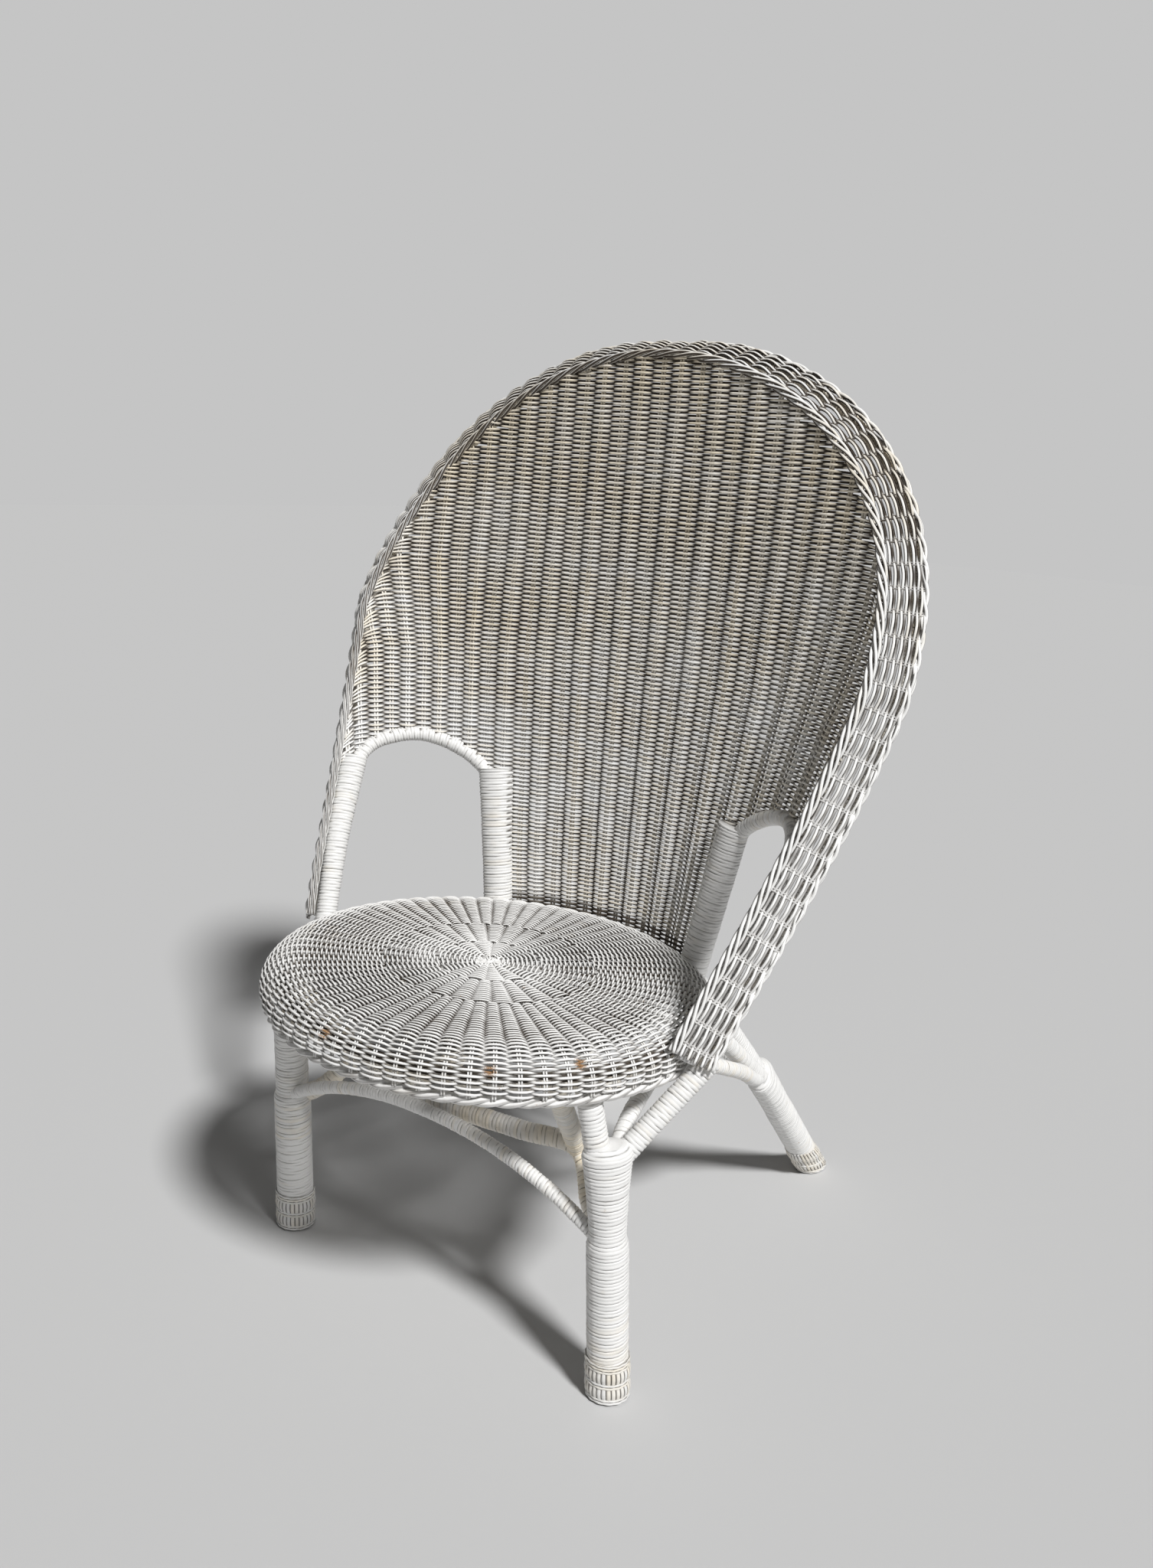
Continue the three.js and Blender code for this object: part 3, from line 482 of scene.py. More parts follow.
class Shade:
    """A socket of a node tree. Arithmetic on it adds Math nodes; add makes any other node."""

    def __init__(self, tree, socket=None):
        self.tree = tree
        self.socket = socket

    def add(self, kind, settings, sockets, output=0):
        """A new node: its settings first, then its sockets by name or number."""
        node = self.tree.nodes.new(kind)
        for label, value in settings.items():
            setattr(node, label, value)
        for label, value in sockets.items():
            if isinstance(value, Shade):
                self.tree.links.new(value.socket, node.inputs[label])
            else:
                node.inputs[label].default_value = value
        return Shade(self.tree, node.outputs[output]) if len(node.outputs) else Shade(self.tree)

    def maths(self, operation, *values, clamp=False):
        """A Math node on the values."""
        settings = {"operation": operation, "use_clamp": clamp}
        return self.add("ShaderNodeMath", settings, dict(enumerate(values)))

    def __add__(self, other):
        return self.maths("ADD", self, other)

    def __sub__(self, other):
        return self.maths("SUBTRACT", self, other)

    def __rsub__(self, other):
        return self.maths("SUBTRACT", other, self)

    def __mul__(self, other):
        return self.maths("MULTIPLY", self, other)

    def __pow__(self, other):
        return self.maths("POWER", self, other)

    __radd__ = __add__
    __rmul__ = __mul__

    def clamped(self):
        """The value cut to 0 and 1."""
        return self.maths("ADD", self, 0.0, clamp=True)

    def mixed(self, first, second):
        """A colour between two colours, with this value as the share of the second."""
        settings = {"data_type": "RGBA", "blend_type": "MIX"}
        return self.add("ShaderNodeMix", settings, {0: self, 6: first, 7: second}, 2)


def painted_cane(name, paint, cream, shade_and_dirt, yellowing, shade_and_grime, top_darkening, chips, worn=()):
    """Old paint on cane: broad yellowing, a tone of its own for each strand, crevices darkened as painted
    shade and grime, darker toward the top, small chips down to bare cane, and worn places, given in metres."""
    material = bpy.data.materials.new(name)
    material.use_nodes = True
    tree = material.node_tree
    tree.nodes.clear()
    start = Shade(tree)
    place = start.add("ShaderNodeTexCoord", {}, {}, "Object")
    tone = start.add("ShaderNodeAttribute", {"attribute_name": "tone"}, {}, "Fac")
    deep = start.add("ShaderNodeAttribute", {"attribute_name": "deep"}, {}, "Fac")
    broad = start.add("ShaderNodeTexNoise", {}, {"Vector": place, "Scale": 9.0, "Detail": 3.0})
    patch = start.add("ShaderNodeTexNoise", {}, {"Vector": place, "Scale": 70.0, "Detail": 3.0})
    fine = start.add("ShaderNodeTexNoise", {}, {"Vector": place, "Scale": 900.0, "Detail": 2.0})
    height = start.add("ShaderNodeSeparateXYZ", {}, {0: place}, 2)
    # A share that grows toward the top of the chair, giving more yellowing and darker crevices.
    height_share = ((height - 0.55) * 2.2).clamped()
    yellow = (broad * 1.5 + tone * 0.5 + patch * 0.5 - 1.25 + yellowing + height_share * 0.5).clamped()
    colour = yellow.mixed(paint, cream)
    # Crevices mix toward the dark colour: the deep value paints shade there, and the broad and patch noise
    # add grime.
    shade_and_stain = (broad - 0.3 + height_share ** 2.0 * top_darkening) * shade_and_grime
    crevice = (deep ** 1.4 * (shade_and_stain + 0.85 * shade_and_grime) + (patch - 0.62) * 0.5 * shade_and_grime).clamped()
    colour = crevice.mixed(colour, shade_and_dirt)
    bare = (patch * 0.6 + fine * 0.4 - 0.68 + chips) * 22.0
    for spot in worn:
        away = start.add("ShaderNodeVectorMath", {"operation": "DISTANCE"}, {0: place, 1: spot}, 1)
        bare = bare.maths("MAXIMUM", bare, 2.0 - away * 240.0 + (fine - 0.5) * 3.0 - deep * 0.5)
    colour = bare.clamped().mixed(colour, BARE_CANE)
    bump = start.add("ShaderNodeBump", {}, {"Strength": 0.35, "Distance": 0.0004, "Height": fine + patch})
    shader = start.add("ShaderNodeBsdfPrincipled", {}, {
        "Base Color": colour,
        "Roughness": 0.42 + fine * 0.2 + deep * 0.2,
        "Specular IOR Level": 0.4,
        "Normal": bump,
    })
    start.add("ShaderNodeOutputMaterial", {}, {"Surface": shader})
    return material


def finish(name):
    """The paint of one group of pieces, made once and then shared."""
    made = bpy.data.materials.get(name)
    if made is not None:
        return made
    paint = bpy.context.scene.wicker_paint
    painted_light_level, yellowing, shade_and_grime, top_darkening, chips = PAINTS[name][1:]
    worn = WORN_SPOTS if name == "seat_paint" else ()
    # The lightness makes one white paint lighter or darker for each group of pieces, as painted light and
    # shade.
    paint_with_painted_light = [level * painted_light_level for level in paint.paint]
    return painted_cane(
        name, (*paint_with_painted_light, 1.0), (*paint.cream, 1.0), (*paint.shade_and_dirt, 1.0),
        yellowing + paint.yellowing, shade_and_grime * paint.shade_and_grime, top_darkening, chips, worn,
    )


# Settings


def size(name, description, default):
    """A length setting in millimetres."""
    return bpy.props.FloatProperty(name=name, description=description, default=default, min=0.01)


def colour(name, description, default):
    """A colour setting."""
    return bpy.props.FloatVectorProperty(
        name=name, description=description, default=default, subtype="COLOR", size=3, min=0, max=1,
    )


def share(name, description, default):
    """A strength or share setting."""
    return bpy.props.FloatProperty(name=name, description=description, default=default, subtype="FACTOR")


class WickerWeave(bpy.types.PropertyGroup):
    """Sizes of the weave in the back, the seat and the rim band."""

    low_pitch: size("Low row pitch", "Height from row to row in the lower back, in mm", 2.54)
    high_pitch: size("High row pitch", "Height from row to row in the upper back, in mm", 2.8)
    low_spacing: size("Low spacing", "Arc from one pair of stakes to the next at the seat, in mm", 22.0)
    high_spacing: size("High spacing", "Arc from one pair of stakes to the next higher up, in mm", 26.2)
    weaver_radius: size("Weaver radius", "Half the thickness of a weaver, in mm", 1.3)
    stake_radius: size("Stake radius", "Half the thickness of a stake, in mm", 1.5)
    wave: size("Wave", "How far a weaver swings to either side of the stakes, in mm", 2.9)
    rib: size("Rib", "How far every second pair of stakes stands forward of the next, in mm", 3.6)
    ring_pitch: size("Ring pitch", "Step from one ring of the seat to the next, in mm", 2.8)
    band_strands: bpy.props.IntProperty(
        name="Band strands", description="Strands along the rim band", default=10, min=3,
    )
    band_stakes: size("Band stakes", "Step from one stake of the rim band to the next, in mm", 25.0)


class WickerCane(bpy.types.PropertyGroup):
    """Sizes of the flat cane that is wound round the poles."""

    leg_pitch: size("Leg pitch", "Width of one turn of cane on the legs, in mm", 4.0)
    pole_pitch: size("Pole pitch", "Width of one turn of cane on struts and arches, in mm", 4.2)
    post_pitch: size("Post pitch", "Width of one turn of cane on the arm posts, in mm", 3.8)


class WickerPaint(bpy.types.PropertyGroup):
    """Colours of the old paint."""

    paint: colour("Paint", "White paint", (0.86, 0.855, 0.84))
    cream: colour("Cream", "Yellowed paint", (0.88, 0.79, 0.63))
    # The dark colour and its strength paint shade and grime into the crevices.
    shade_and_dirt: colour("Dirt", "Grime in the crevices", (0.065, 0.05, 0.037))
    yellowing: share("Yellowing", "How much of the paint has yellowed", 0.0)
    shade_and_grime: share("Grime", "How dark the crevices are", 0.85)


class WickerStage(bpy.types.PropertyGroup):
    """Floor, backdrop and light."""

    floor: colour("Floor", "Pale floor", (0.6, 0.6, 0.6))
    backdrop: colour("Backdrop", "Backdrop behind the chair", (0.558, 0.558, 0.558))
    key: share("Key light", "Strength of the soft light from the right", 3.55)
    rear: share("Rear light", "Strength of the wide light from behind", 0.13)
    sky: share("Sky", "Light from all round", 0.08)


# Woven back


def stake_spacing(weave, z):
    """Arc from one pair of stakes to the next: close at the seat, growing up to z = 700."""
    share = np.clip((z - SEAT_HEIGHT) / (700 - SEAT_HEIGHT), 0, 1)
    return weave.low_spacing + (weave.high_spacing - weave.low_spacing) * share ** 0.8


def wing_squeeze(z):
    """How much closer the stakes stand beyond the eighth pair: a fifth in the wings, fading out above."""
    return 0.2 * np.clip((800 - z) / 110, 0, 1)


def stake_arc(weave, number, z):
    """Arc from the middle to a stake: spacing * (n - squeeze * (n - 8)) beyond the eighth."""
    beyond = np.maximum(np.abs(number) - 8, 0)
    return np.sign(number) * stake_spacing(weave, z) * (np.abs(number) - wing_squeeze(z) * beyond)


def stake_number(weave, arc, z):
    """The stake, with its share to the next, that stands at an arc: stake_arc turned round."""
    count = np.abs(arc) / stake_spacing(weave, z)
    beyond = np.maximum(count - 8, 0)
    return np.sign(arc) * (count - beyond + beyond / (1 - wing_squeeze(z)))


def row_levels(weave):
    """Heights of the rows: each stands where the running sum of 1 / pitch reaches a whole number."""
    z = np.arange(SEAT_BOTTOM_Z + 4, TOP_Z - 3, 0.5)
    pitch = weave.low_pitch + (weave.high_pitch - weave.low_pitch) * np.clip((z - 500) / 100, 0, 1)
    count = np.cumsum(0.5 / pitch)
    return np.interp(np.arange(1, count[-1]), count, z)


class WICKER_OT_back(bpy.types.Operator):
    """Weave the back: level rows over and under pairs of stakes, out to the rim and round the arm arches"""

    bl_idname = "wicker.back"
    bl_label = "Woven back"

    def execute(self, context):
        weave = context.scene.wicker_weave
        levels = row_levels(weave)
        for name, low, high in ROW_GROUPS:
            skin = Skin()
            for number, z in enumerate(levels):
                if low <= z < high:
                    self.row(skin, weave, number, z)
            add_piece(name, skin, "weave_paint", ["back_weave"])
        skin = Skin()
        self.stakes(skin, weave)
        add_piece("back_stakes", skin, "weave_paint", ["back_weave"])
        return {"FINISHED"}

    @staticmethod
    def row(skin, weave, number, z):
        """One weaver: offset = wave * flat cosine of (stake + row number) + rib / 2 * cos(pi stake),
        drawn to the stake ends where it nears the rim, and bent down there on the sides of the back."""
        table = arc_table(z)
        edge = table[1][-1]
        random = np.random.default_rng(4000 + number)
        for low, high in woven_spans(z, table):
            if high - low < 6:
                continue
            ends = stake_number(weave, np.array([low, high]), z)
            stake = (np.arange(np.floor(ends[0]), np.ceil(ends[1]))[:, None] + CROSSING).reshape(-1)
            stake = stake[(stake > ends[0] + 0.04) & (stake < ends[1] - 0.04)]
            stake = np.concatenate([ends[:1], stake, ends[1:]])
            arc = stake_arc(weave, stake, z)
            angle = np.sign(arc) * np.interp(np.abs(arc), table[1], table[0])
            swing = flat_wave(stake + number)
            reach = weave.wave * (1 + 0.12 * drift(number, arc / 31))
            level = z + 0.9 * drift(7, arc / 90 + z / 140) + random.uniform(-0.2, 0.2)
            near = np.exp(-np.maximum(edge - np.abs(arc), 0) / RIM_REACH)
            level = level - near * 0.28 * ((z / RIM_BUNDLE) % 1 - 0.5) * RIM_BUNDLE
            fade = np.clip((WIDEST_Z + RIM_DROP_FADE - z) / RIM_DROP_FADE, 0, 1)
            level = level - near ** 1.6 * RIM_DROP * fade
            centre = on_back(angle, level, swing * reach + weave.rib / 2 * np.cos(np.pi * stake))
            normal = back_normal(angle, level)
            thick = weave.weaver_radius * random.uniform(0.93, 1.05)
            # Painted shade: rows below the top of the seat are darkened on the face toward the seat, and
            # hollow darkens each row where it passes under the stakes and at its crossings.
            under_seat_shade = np.clip((SEAT_HEIGHT + 7 - level) / 6, 0, 1)[None]
            sweep(
                skin, centre[None], normal[None], thick, thick * 0.95, 6, random.uniform(),
                swing=swing[None], hollow=(1.1, 1.35, 0.6), inside=under_seat_shade,
            )

    @staticmethod
    def stakes(skin, weave):
        """Pairs of stakes up the back, from the seat or an arm arch to the rim."""
        levels = np.arange(SEAT_BOTTOM_Z + 3, TOP_Z - 2, 4.0)
        tables = [arc_table(z) for z in levels]
        spans = [woven_spans(z, table) for z, table in zip(levels, tables)]
        radius = weave.stake_radius
        for number in range(-STAKE_PAIRS, STAKE_PAIRS + 1):
            for side in (-STAKE_HALF_GAP, STAKE_HALF_GAP):
                arc = stake_arc(weave, number, levels) + side
                kept = np.flatnonzero([in_weave(*pair) for pair in zip(arc, spans)])
                for run in np.split(kept, np.flatnonzero(np.diff(kept) > 1) + 1):
                    if len(run) < 3:
                        continue
                    angle = np.array([np.interp(abs(arc[i]), tables[i][1], tables[i][0]) for i in run])
                    angle = angle * np.sign(arc[run])
                    z = levels[run]
                    rib = weave.rib / 2 * (-1) ** number
                    centre = on_back(angle, z, rib + 0.15 * drift(number + 90, z / 25))
                    tone = (number * 0.37) % 1
                    sweep(skin, centre[None], back_normal(angle, z)[None], radius, radius, 5, tone, 0.1)


# Woven seat


def seat_profile():
    """Outline of the seat from its middle out, over the rolled edge and down, with its length and normal."""
    turn = np.linspace(0, np.pi / 2, 40)
    flat = np.linspace(0, SEAT_HALF_WIDTH - SEAT_ROLL, 60, endpoint=False)
    radius = np.concatenate([flat, SEAT_HALF_WIDTH - SEAT_ROLL * (1 - np.sin(turn)), [SEAT_HALF_WIDTH]])
    roll = SEAT_HEIGHT - SEAT_ROLL_DROP * (1 - np.cos(turn))
    height = np.concatenate([np.full(60, SEAT_HEIGHT), roll, [SEAT_BOTTOM_Z]])
    line = np.stack([radius, height], -1)
    length = np.concatenate([[0], np.cumsum(np.linalg.norm(np.diff(line, axis=0), axis=1))])
    slope = unit(np.gradient(line, axis=0))
    return length, line, np.stack([-slope[:, 1], slope[:, 0]], -1)


def on_seat(profile, reach, turn, offset):
    """Point and normal of the seat at a length along its outline and a turn about its middle."""
    length, line, normal = profile
    reach, turn, offset = np.broadcast_arrays(reach, turn, offset)
    radius, height = (np.interp(reach, length, line[:, i]) for i in range(2))
    out, up = (np.interp(reach, length, normal[:, i]) for i in range(2))
    direction = unit(np.stack([out * np.cos(turn), out * np.sin(turn) / SEAT_SQUASH, up], -1))
    place = np.stack([radius * np.cos(turn), radius * np.sin(turn) * SEAT_SQUASH, height], -1)
    return place + direction * offset[..., None], direction


class WICKER_OT_seat(bpy.types.Operator):
    """Weave the seat: rings over and under spokes that double in number twice on the way out"""

    bl_idname = "wicker.seat"
    bl_label = "Woven seat"

    def execute(self, context):
        weave = context.scene.wicker_weave
        profile = seat_profile()
        total = profile[0][-1]
        skins = {"seat_rings_inner": Skin(), "seat_rings_outer": Skin()}
        for number, reach in enumerate(np.arange(15.0, total - 2, weave.ring_pitch)):
            skin = skins["seat_rings_inner" if reach < SEAT_SPLIT else "seat_rings_outer"]
            self.ring(skin, weave, profile, number, reach)
        for name, skin in skins.items():
            add_piece(name, skin, "seat_paint", ["seat_weave"])
        skin = Skin()
        self.spokes(skin, weave, profile, total)
        add_piece("seat_spokes", skin, "seat_paint", ["seat_weave"])
        return {"FINISHED"}

    @staticmethod
    def ring(skin, weave, profile, number, reach):
        """One closed ring: offset = wave * flat cosine of (spokes * turn / 2 pi + ring number).

        Where new spokes begin, the rings on either side part round each of them."""
        spokes = 16 if reach < SEAT_DOUBLINGS[0] else 32 if reach < SEAT_DOUBLINGS[1] else 64
        stake = (np.arange(spokes)[:, None] + CROSSING).reshape(-1)
        turn = stake * 2 * np.pi / spokes
        swing = flat_wave(stake + number)
        random = np.random.default_rng(7000 + number)
        wander = 0.45 * np.sin(turn * 3 + reach / 40) + 0.3 * np.sin(turn * 7 + reach / 23)
        wander = wander + random.uniform(-0.2, 0.2)
        for start, count in zip(SEAT_DOUBLINGS, (16, 32)):
            parting = np.sign(reach - start) * np.exp(-((reach - start) / 4) ** 2)
            wander = wander + 1.3 * parting * ((1 - np.cos(count * turn)) / 2) ** 6
        place, normal = on_seat(profile, reach + wander, turn, swing * weave.wave)
        thick = weave.weaver_radius * random.uniform(0.93, 1.03)
        tone = random.uniform()
        # Painted shade in the gaps between rings: deeper on the flat of the seat, lighter on the rolled edge.
        gap_shade = 0.42 * np.clip((reach - 60) / 60, 0, 1) - 0.5 * np.clip((reach - SEAT_ROLL_START) / 30, 0, 1)
        sweep(
            skin, place[None], normal[None], thick, thick * 0.95, 6, tone, loop=True,
            swing=swing[None], hollow=(0.6 + gap_shade, 0.85 + gap_shade, 0.0),
        )

    @staticmethod
    def spokes(skin, weave, profile, total):
        """Pairs of spokes, each from its first ring out and down to the border.

        The first ones cross in the middle. Their shadow is deep on the flat and light on the rolled edge.
        Each set has a count, a share of a step by which it is turned, and a length where it begins."""
        for count, first, begin in ((16, 0, 14.0), (16, 0.5, 60.0), (32, 0.25, 121.0)):
            step = 32 if begin > 100 else 16
            turns = (np.arange(count) + first * (2 if begin > 100 else 1)) * 2 * np.pi / step
            reach = np.linspace(begin, total, 70)
            radius = np.interp(reach, profile[0], profile[1][:, 0])
            shadow = 0.6 - 0.45 * np.clip((reach - SEAT_ROLL_START) / 25, 0, 1)
            for side in (-SPOKE_HALF_GAP, SPOKE_HALF_GAP):
                angle = turns[:, None] + side / np.maximum(radius, 12)[None]
                place, normal = on_seat(profile, reach[None], angle, 0.0)
                size = weave.stake_radius * 0.7
                sweep(skin, place, normal, size, size, 5, np.linspace(0, 1, count), shadow)
        number = np.arange(8)
        angle = number[:, None] * np.pi / 8
        along = np.linspace(-17, 17, 29)[None]
        height = SEAT_HEIGHT + 0.4 + 1.3 * np.cos(np.pi * (along / 8 + number[:, None]))
        for side in (-1.5, 1.5):
            across = side * np.ones_like(along)
            x = along * np.cos(angle) - across * np.sin(angle)
            y = along * np.sin(angle) + across * np.cos(angle)
            place = np.stack([x, y, height], -1)
            sweep(skin, place, np.broadcast_to([0.0, 0, 1], place.shape), 1.2, 1.1, 6, number / 8, 0.1)


class WICKER_OT_border(bpy.types.Operator):
    """Plait the border under the seat's edge: three strands twisted 24 times round a ring"""

    bl_idname = "wicker.border"
    bl_label = "Seat border"

    def execute(self, context):
        skin = Skin()
        turns = 24
        turn = np.linspace(0, 2 * np.pi, turns * 18, endpoint=False)
        for strand in range(3):
            twist = turns * turn + strand * 2 * np.pi / 3
            radius = SEAT_HALF_WIDTH - 5.5 + 3.2 * np.cos(twist)
            height = SEAT_BOTTOM_Z - 4.2 + 3.0 * np.sin(twist)
            ring = np.stack([radius * np.cos(turn), radius * np.sin(turn) * SEAT_SQUASH, height], -1)
            up = np.broadcast_to([0.0, 0, 1], ring.shape)
            sweep(skin, ring[None], up[None], 3.0, 2.9, 8, strand / 3, 0.05, groove=0.7, loop=True)
        add_piece("seat_border", skin, "braid_paint", ["seat_border_braid"])
        return {"FINISHED"}


# Rim of the back


class WICKER_OT_rim(bpy.types.Operator):
    """Weave the band round the rim, with the twisted strands along its edges and the hoop behind it"""

    bl_idname = "wicker.rim"
    bl_label = "Rim band"

    def execute(self, context):
        weave = context.scene.wicker_weave
        rim = rim_frame(weave.band_stakes / 6)
        skin = Skin()
        self.band(skin, weave, rim)
        add_piece("rim_band_weave", skin, "braid_paint", ["rim_band"])
        skin = Skin()
        self.edging(skin, rim)
        add_piece("rim_edging_strands", skin, "braid_paint", ["rim_edging"])
        line = beside(rim, HOOP_ACROSS, HOOP_BEHIND)
        pitch = context.scene.wicker_cane.pole_pitch
        wind("rim_hoop_cane", ["rim_hoop"], "shaded_paint", line[::3], 6.6, pitch, 300, steps=12)
        return {"FINISHED"}

    @staticmethod
    def band(skin, weave, rim):
        """Strands along the rim, over and under short stakes across the band.

        Height = crown + 2.2 * flat cosine of (stake + strand) + 0.9 * cos(2 pi stake), so that the
        whole band swells a little over each stake."""
        strands = weave.band_strands
        step = (BAND_WIDTH - 4) / strands
        phase = rim[3] / weave.band_stakes
        middle = np.array([0.3 + 1.3 * np.sin(np.pi * (i + 0.5) / strands) for i in range(strands)])
        number = np.arange(strands)[:, None]
        swing = flat_wave(phase[None] + number, 1.2)
        wander = 0.35 * np.stack([drift(500 + i, rim[3] / 40) for i in range(strands)])
        height = middle[:, None] + 2.2 * swing + 0.9 * np.cos(2 * np.pi * phase)
        place = beside(rim, 4.2 + step * (number + 0.5) + wander, height)
        normal = np.broadcast_to(rim[2], place.shape)
        # Painted shade on each strand where it passes under a stake; its crossings over the stakes stay
        # light.
        shade_swing = 0.45 + 0.6 * swing
        tone = (np.arange(strands) * 0.37) % 1
        sweep(skin, place, normal, step * 0.43, 1.6, 6, tone, groove=0.95, swing=shade_swing)
        stakes = np.arange(3, len(rim[0]) - 2, 6)
        reach = np.linspace(0.5, BAND_WIDTH - 1, 12)
        crown = -0.3 + 1.3 * np.sin(np.pi * np.clip(reach / BAND_WIDTH, 0, 1))
        # The short stakes across the band carry painted shade, deep 0.6, where they lie among the strands.
        for side in (-SPOKE_HALF_GAP, SPOKE_HALF_GAP):
            base = rim[0][stakes] + (rim[0][stakes + 1] - rim[0][stakes]) / (rim[3][1] - rim[3][0]) * side
            place = base[:, None] + rim[1][stakes][:, None] * reach[None, :, None]
            place = place + rim[2][stakes][:, None] * crown[None, :, None]
            normal = np.broadcast_to(rim[2][stakes][:, None], place.shape)
            sweep(skin, place, normal, 1.1, 1.1, 5, 0.5, 0.6)
        twist = rim[3] / 44 * 2 * np.pi
        for strand in range(2):
            turn = twist + strand * np.pi
            place = beside(rim, BAND_WIDTH - 1.8 + 2.1 * np.cos(turn), -0.4 + 2.1 * np.sin(turn))
            sweep(skin, place[None], rim[2][None], 2.1, 2.1, 6, strand * 0.6, 0.1)

    @staticmethod
    def edging(skin, rim):
        """Four long strands twisted round each other along the inner edge, one turn in 84 mm."""
        for strand in range(4):
            turn = (rim[3] / 84 + strand / 4) * 2 * np.pi
            place = beside(rim, -1.8 + 3.8 * np.cos(turn), 0.2 + 3.4 * np.sin(turn))
            sweep(skin, place[None], rim[2][None], 2.0, 2.0, 6, strand / 4, 0.05, groove=1.0)


# Wrapped poles


def between(foot, head, z):
    """The point of a straight pole at a height."""
    return foot + (head - foot) * (z - foot[2]) / (head[2] - foot[2])


def hoop_point(degrees):
    """The point of the seat hoop, an ellipse, at an angle from the right-hand side."""
    angle = np.radians(degrees)
    x = SEAT_HOOP_WIDTH * np.cos(angle)
    y = SEAT_HOOP_WIDTH * SEAT_SQUASH * np.sin(angle)
    return np.array([x, y, SEAT_HOOP_Z])


def rim_hoop_end():
    """The right-hand end of the hoop behind the rim band."""
    rim = rim_frame(4.0)
    return beside(rim, HOOP_ACROSS, HOOP_BEHIND)[0]


def leg_girth(radius, neck):
    """Radius along a leg: thinner by neck above the arched brace, and drawn in at the top end."""
    def along(t):
        above_brace = np.clip((t - 0.58) / 0.03, 0, 1)
        near_end = np.clip((t - 0.95) / 0.05, 0, 1)
        return radius - 0.4 - neck * above_brace - 6 * near_end ** 2
    return along


def fork_width(t):
    """How much a leg widens toward its top end, where two poles fork."""
    return 1 + 0.42 * np.clip((t - 0.62) / 0.38, 0, 1) ** 1.5


class WICKER_OT_legs(bpy.types.Operator):
    """Wind the four lower legs with cane, widening at the top where two poles fork"""

    bl_idname = "wicker.legs"
    bl_label = "Legs"

    def execute(self, context):
        pitch = context.scene.wicker_cane.leg_pitch
        seed = 20
        for prefix, foot, head, girth, spread in (
            ("front_leg", FRONT_FOOT, FRONT_CROTCH, leg_girth(FRONT_LEG_RADIUS, 2.4), (0.65, 0.76, 0.0)),
            ("back_leg", BACK_FOOT, BACK_CROTCH, leg_girth(BACK_LEG_RADIUS, 0.6), (-0.4, 0.92, 0.0)),
        ):
            for side, sign in SIDES:
                seed += 10
                low = foot * sign
                high = head * sign
                axis = unit(high - low)
                points = [low + axis * FOOT_CAP_HEIGHT * 0.6, high + axis * 8]
                flat = (np.array(spread) * sign, fork_width)
                nodes = [f"{prefix}_{side}", f"{prefix}_winding_{side}"]
                wind(f"{prefix}_cane_{side}", nodes, "pole_paint", points, girth, pitch, seed, flat, steps=20)
        return {"FINISHED"}


class WICKER_OT_feet(bpy.types.Operator):
    """Cap the feet: canes turned up side by side round the end, held by twisted rows"""

    bl_idname = "wicker.feet"
    bl_label = "Feet"

    def execute(self, context):
        for prefix, foot, head, radius in (
            ("front_leg", FRONT_FOOT, FRONT_CROTCH, FRONT_LEG_RADIUS),
            ("back_leg", BACK_FOOT, BACK_CROTCH, BACK_LEG_RADIUS),
        ):
            for side, sign in SIDES:
                skin = Skin()
                self.cap(skin, foot * sign, head * sign, radius + 0.6)
                nodes = [f"{prefix}_foot_cap_{side}"]
                add_piece(f"{prefix}_foot_weave_{side}", skin, "foot_paint", nodes)
        return {"FINISHED"}

    @staticmethod
    def cap(skin, foot, head, radius):
        """Canes that run from the middle of the foot out and up the leg, under three bands of wound rows.

        Each cane swings by cos(2 pi height / 19), so it shows as two short stitches, one above the other."""
        axis = unit(head - foot)
        lean = axis[:2] / axis[2]
        level = unit(axis * [1, 1, 0])
        slant = np.eye(3) + (1 / axis[2] - 1) * np.outer(level, level)
        count = 28
        turn = np.arange(count) * 2 * np.pi / count
        rise = np.linspace(5, FOOT_CAP_HEIGHT - 1, 20)
        side = np.stack([radius - 0.3 - 0.8 * np.cos(2 * np.pi * (rise - 4.5) / 19), rise], -1)
        shape = np.concatenate([[[0.5, 1.2], [radius * 0.55, 1.1], [radius * 0.86, 1.7]], side])
        out = np.stack([np.cos(turn), np.sin(turn), 0 * turn], -1) @ slant
        place = out[:, None] * shape[None, :, :1] + np.array([0.0, 0, 1]) * shape[None, :, 1:]
        place = place + foot
        place[..., :2] += lean * shape[None, :, 1:]
        slope = unit(np.gradient(shape, axis=0))
        normal = out[:, None] * slope[None, :, 1:] - np.array([0.0, 0, 1]) * slope[None, :, :1]
        width = np.clip(shape[:, 0] * np.pi / count, 0.15, None)
        sweep(skin, place, normal, width, 1.2, 8, (turn * 3.7) % 1, 0.0, groove=1.0)
        around = np.linspace(0, 2 * np.pi, 56, endpoint=False)
        ring = np.stack([np.cos(around), np.sin(around), 0 * around], -1) @ slant
        for number, height in enumerate(FOOT_ROWS):
            weave = 0.35 * np.cos(around * count / 2 + np.pi * number)
            centre = foot + axis * height + ring * (radius - 0.1 + weave)[:, None]
            tone = (number * 0.37) % 1
            sweep(skin, centre[None], ring[None], 1.65, 1.1, 6, tone, 0.1, groove=0.9, loop=True)


def post_girth(flare):
    """Radius along a front arm post: the left one flares toward the arch, the right one is drawn in."""
    def along(t):
        drawn = 0 if flare else 6 * np.clip((t - 0.82) / 0.18, 0, 1) ** 2
        return FRONT_POST_RADIUS + flare * t ** 1.5 - drawn
    return along


def post_width(t):
    """How much wider a rear arm post is along the back than across it, growing toward its top."""
    return 1.08 + 0.3 * t ** 1.5


